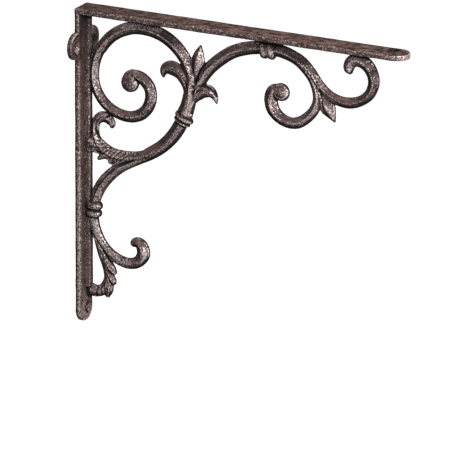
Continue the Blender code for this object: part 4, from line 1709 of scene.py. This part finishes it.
def outward(azimuth: float, elevation: float) -> Vector:
    """Point from the bracket out into the studio: (sin a cos e, -cos a cos e, sin e).

    Args:
        azimuth: degrees round the bracket; 0 is in front and 90 on +X.
        elevation: degrees above the horizon.

    Returns:
        A vector of length 1.
    """
    a, e = math.radians(azimuth), math.radians(elevation)
    return Vector((math.sin(a) * math.cos(e), -math.cos(a) * math.cos(e), math.sin(e)))


@dataclass(frozen=True)
class Softbox:
    """A rectangular soft light that looks at the bracket.

    Args:
        name: what it does.
        azimuth: where it stands, in degrees; 0 is in front and 90 on +X.
        elevation: height above the horizon, in degrees.
        distance: from the bracket, in metres.
        size: width and height in metres.
        power: watts.
        colour: sRGB hex.
    """

    name: str
    azimuth: float
    elevation: float
    distance: float
    size: tuple[float, float]
    power: float
    colour: str = "#ffffff"

    def place(self, target: Vector) -> None:
        """Add the light and turn it towards the bracket.

        Args:
            target: what it looks at, in metres.
        """
        data = bpy.data.lights.new(self.name, "AREA")
        data.shape, data.size, data.size_y = "RECTANGLE", *self.size
        data.energy, data.color = self.power, linear(self.colour)[:3]
        lamp = bpy.data.objects.new(self.name, data)
        way = outward(self.azimuth, self.elevation)
        lamp.location = target + way * self.distance
        lamp.rotation_euler = way.to_track_quat("Z", "Y").to_euler()
        lamp.visible_camera = False
        bpy.context.scene.collection.objects.link(lamp)


@dataclass
class Studio:
    """Camera, soft lights and a pale floor far below the hanging bracket.

    Args:
        azimuth: where the camera stands, in degrees; 0 is in front and 90 on +X.
        elevation: its height above the horizon, in degrees.
        distance: from the target to the camera, in metres.
        lens: its focal length in mm, long, so that the picture has hardly any perspective.
        sensor: width of its sensor, in mm.
        target: what it looks at, in metres.
        floor_drop: height of the floor, in metres.
        floor_half: half the side of the floor, in metres.
        lights: the soft lights.
        room: brightness of the room as it lights the bracket; the camera sees it white.
    """

    azimuth: float = 27.6
    elevation: float = 17.4
    distance: float = 9.0
    lens: float = 1016.8
    sensor: float = 36.0
    target: tuple[float, float, float] = (0.1184, 0.0, -0.1192)
    floor_drop: float = -0.9
    floor_half: float = 20.0
    room: float = 0.14
    lights: tuple[Softbox, ...] = (
        Softbox("right front softbox", 57.0, 25.0, 1.6, (0.5, 0.5), 56.0),
        Softbox("overhead softbox", 20.0, 78.0, 1.5, (1.2, 1.2), 9.0),
        Softbox("left fill", -60.0, 15.0, 1.8, (1.0, 1.0), 4.0),
        Softbox("back fill", 200.0, -10.0, 1.8, (1.2, 1.0), 10.0))

    def build(self) -> None:
        """Set up the camera, the lights, the surroundings and the floor."""
        target = Vector(self.target)
        back = outward(self.azimuth, self.elevation)
        data = bpy.data.cameras.new("camera")
        data.lens, data.sensor_width = self.lens, self.sensor
        data.clip_start, data.clip_end = 0.1, 100.0
        camera = bpy.data.objects.new("camera", data)
        camera.location = target + back * self.distance
        camera.rotation_euler = back.to_track_quat("Z", "Y").to_euler()
        bpy.context.scene.collection.objects.link(camera)
        bpy.context.scene.camera = camera
        for light in self.lights:
            light.place(target)
        bpy.context.scene.view_settings.view_transform = "Standard"
        self.surroundings()
        self.floor()

    def surroundings(self) -> None:
        """Put a dim room round the bracket, which shows white behind it."""
        world = bpy.data.worlds.new("studio")
        world.use_nodes = True
        tree = world.node_tree
        tree.nodes.clear()
        seen = add_node(tree, "ShaderNodeLightPath").outputs["Is Camera Ray"]
        level = add_node(tree, "ShaderNodeMapRange", Value=seen, To_Min=self.room,
                         To_Max=1.0).outputs[0]
        back = add_node(tree, "ShaderNodeBackground", Color=linear("#ffffff"),
                        Strength=level)
        add_node(tree, "ShaderNodeOutputWorld", Surface=back.outputs[0])
        bpy.context.scene.world = world

    def floor(self) -> None:
        """Lay a wide sheet of pale paper, which lights nothing."""
        mesh = bpy.data.meshes.new("floor")
        corners = ((-1, -1), (1, -1), (1, 1), (-1, 1))
        mesh.from_pydata([(a * self.floor_half, b * self.floor_half, self.floor_drop)
                          for a, b in corners], [], [(0, 1, 2, 3)])
        mesh.materials.append(PaleStudioPaper().material())
        floor = bpy.data.objects.new("floor", mesh)
        floor.visible_diffuse = floor.visible_glossy = False
        bpy.context.scene.collection.objects.link(floor)


def main() -> None:
    """Build the bracket's pieces in order, then the studio round them."""
    logging.basicConfig(level=logging.INFO, format="%(name)s: %(message)s")
    castings = [ShelfArm(), WallArm(), UpperScrollwork(), LowerScrollwork()]
    skins = [casting.skin() for casting in castings]
    crowding = Crowding([skin.places for skin in skins],
                        [casting.voxel ** 2 for casting in castings])
    material = AntiquedCastIron().material()
    for casting, skin in zip(castings, skins):
        casting.dress(skin, crowding, material)
    Studio().build()


if __name__ == "__main__":
    main()
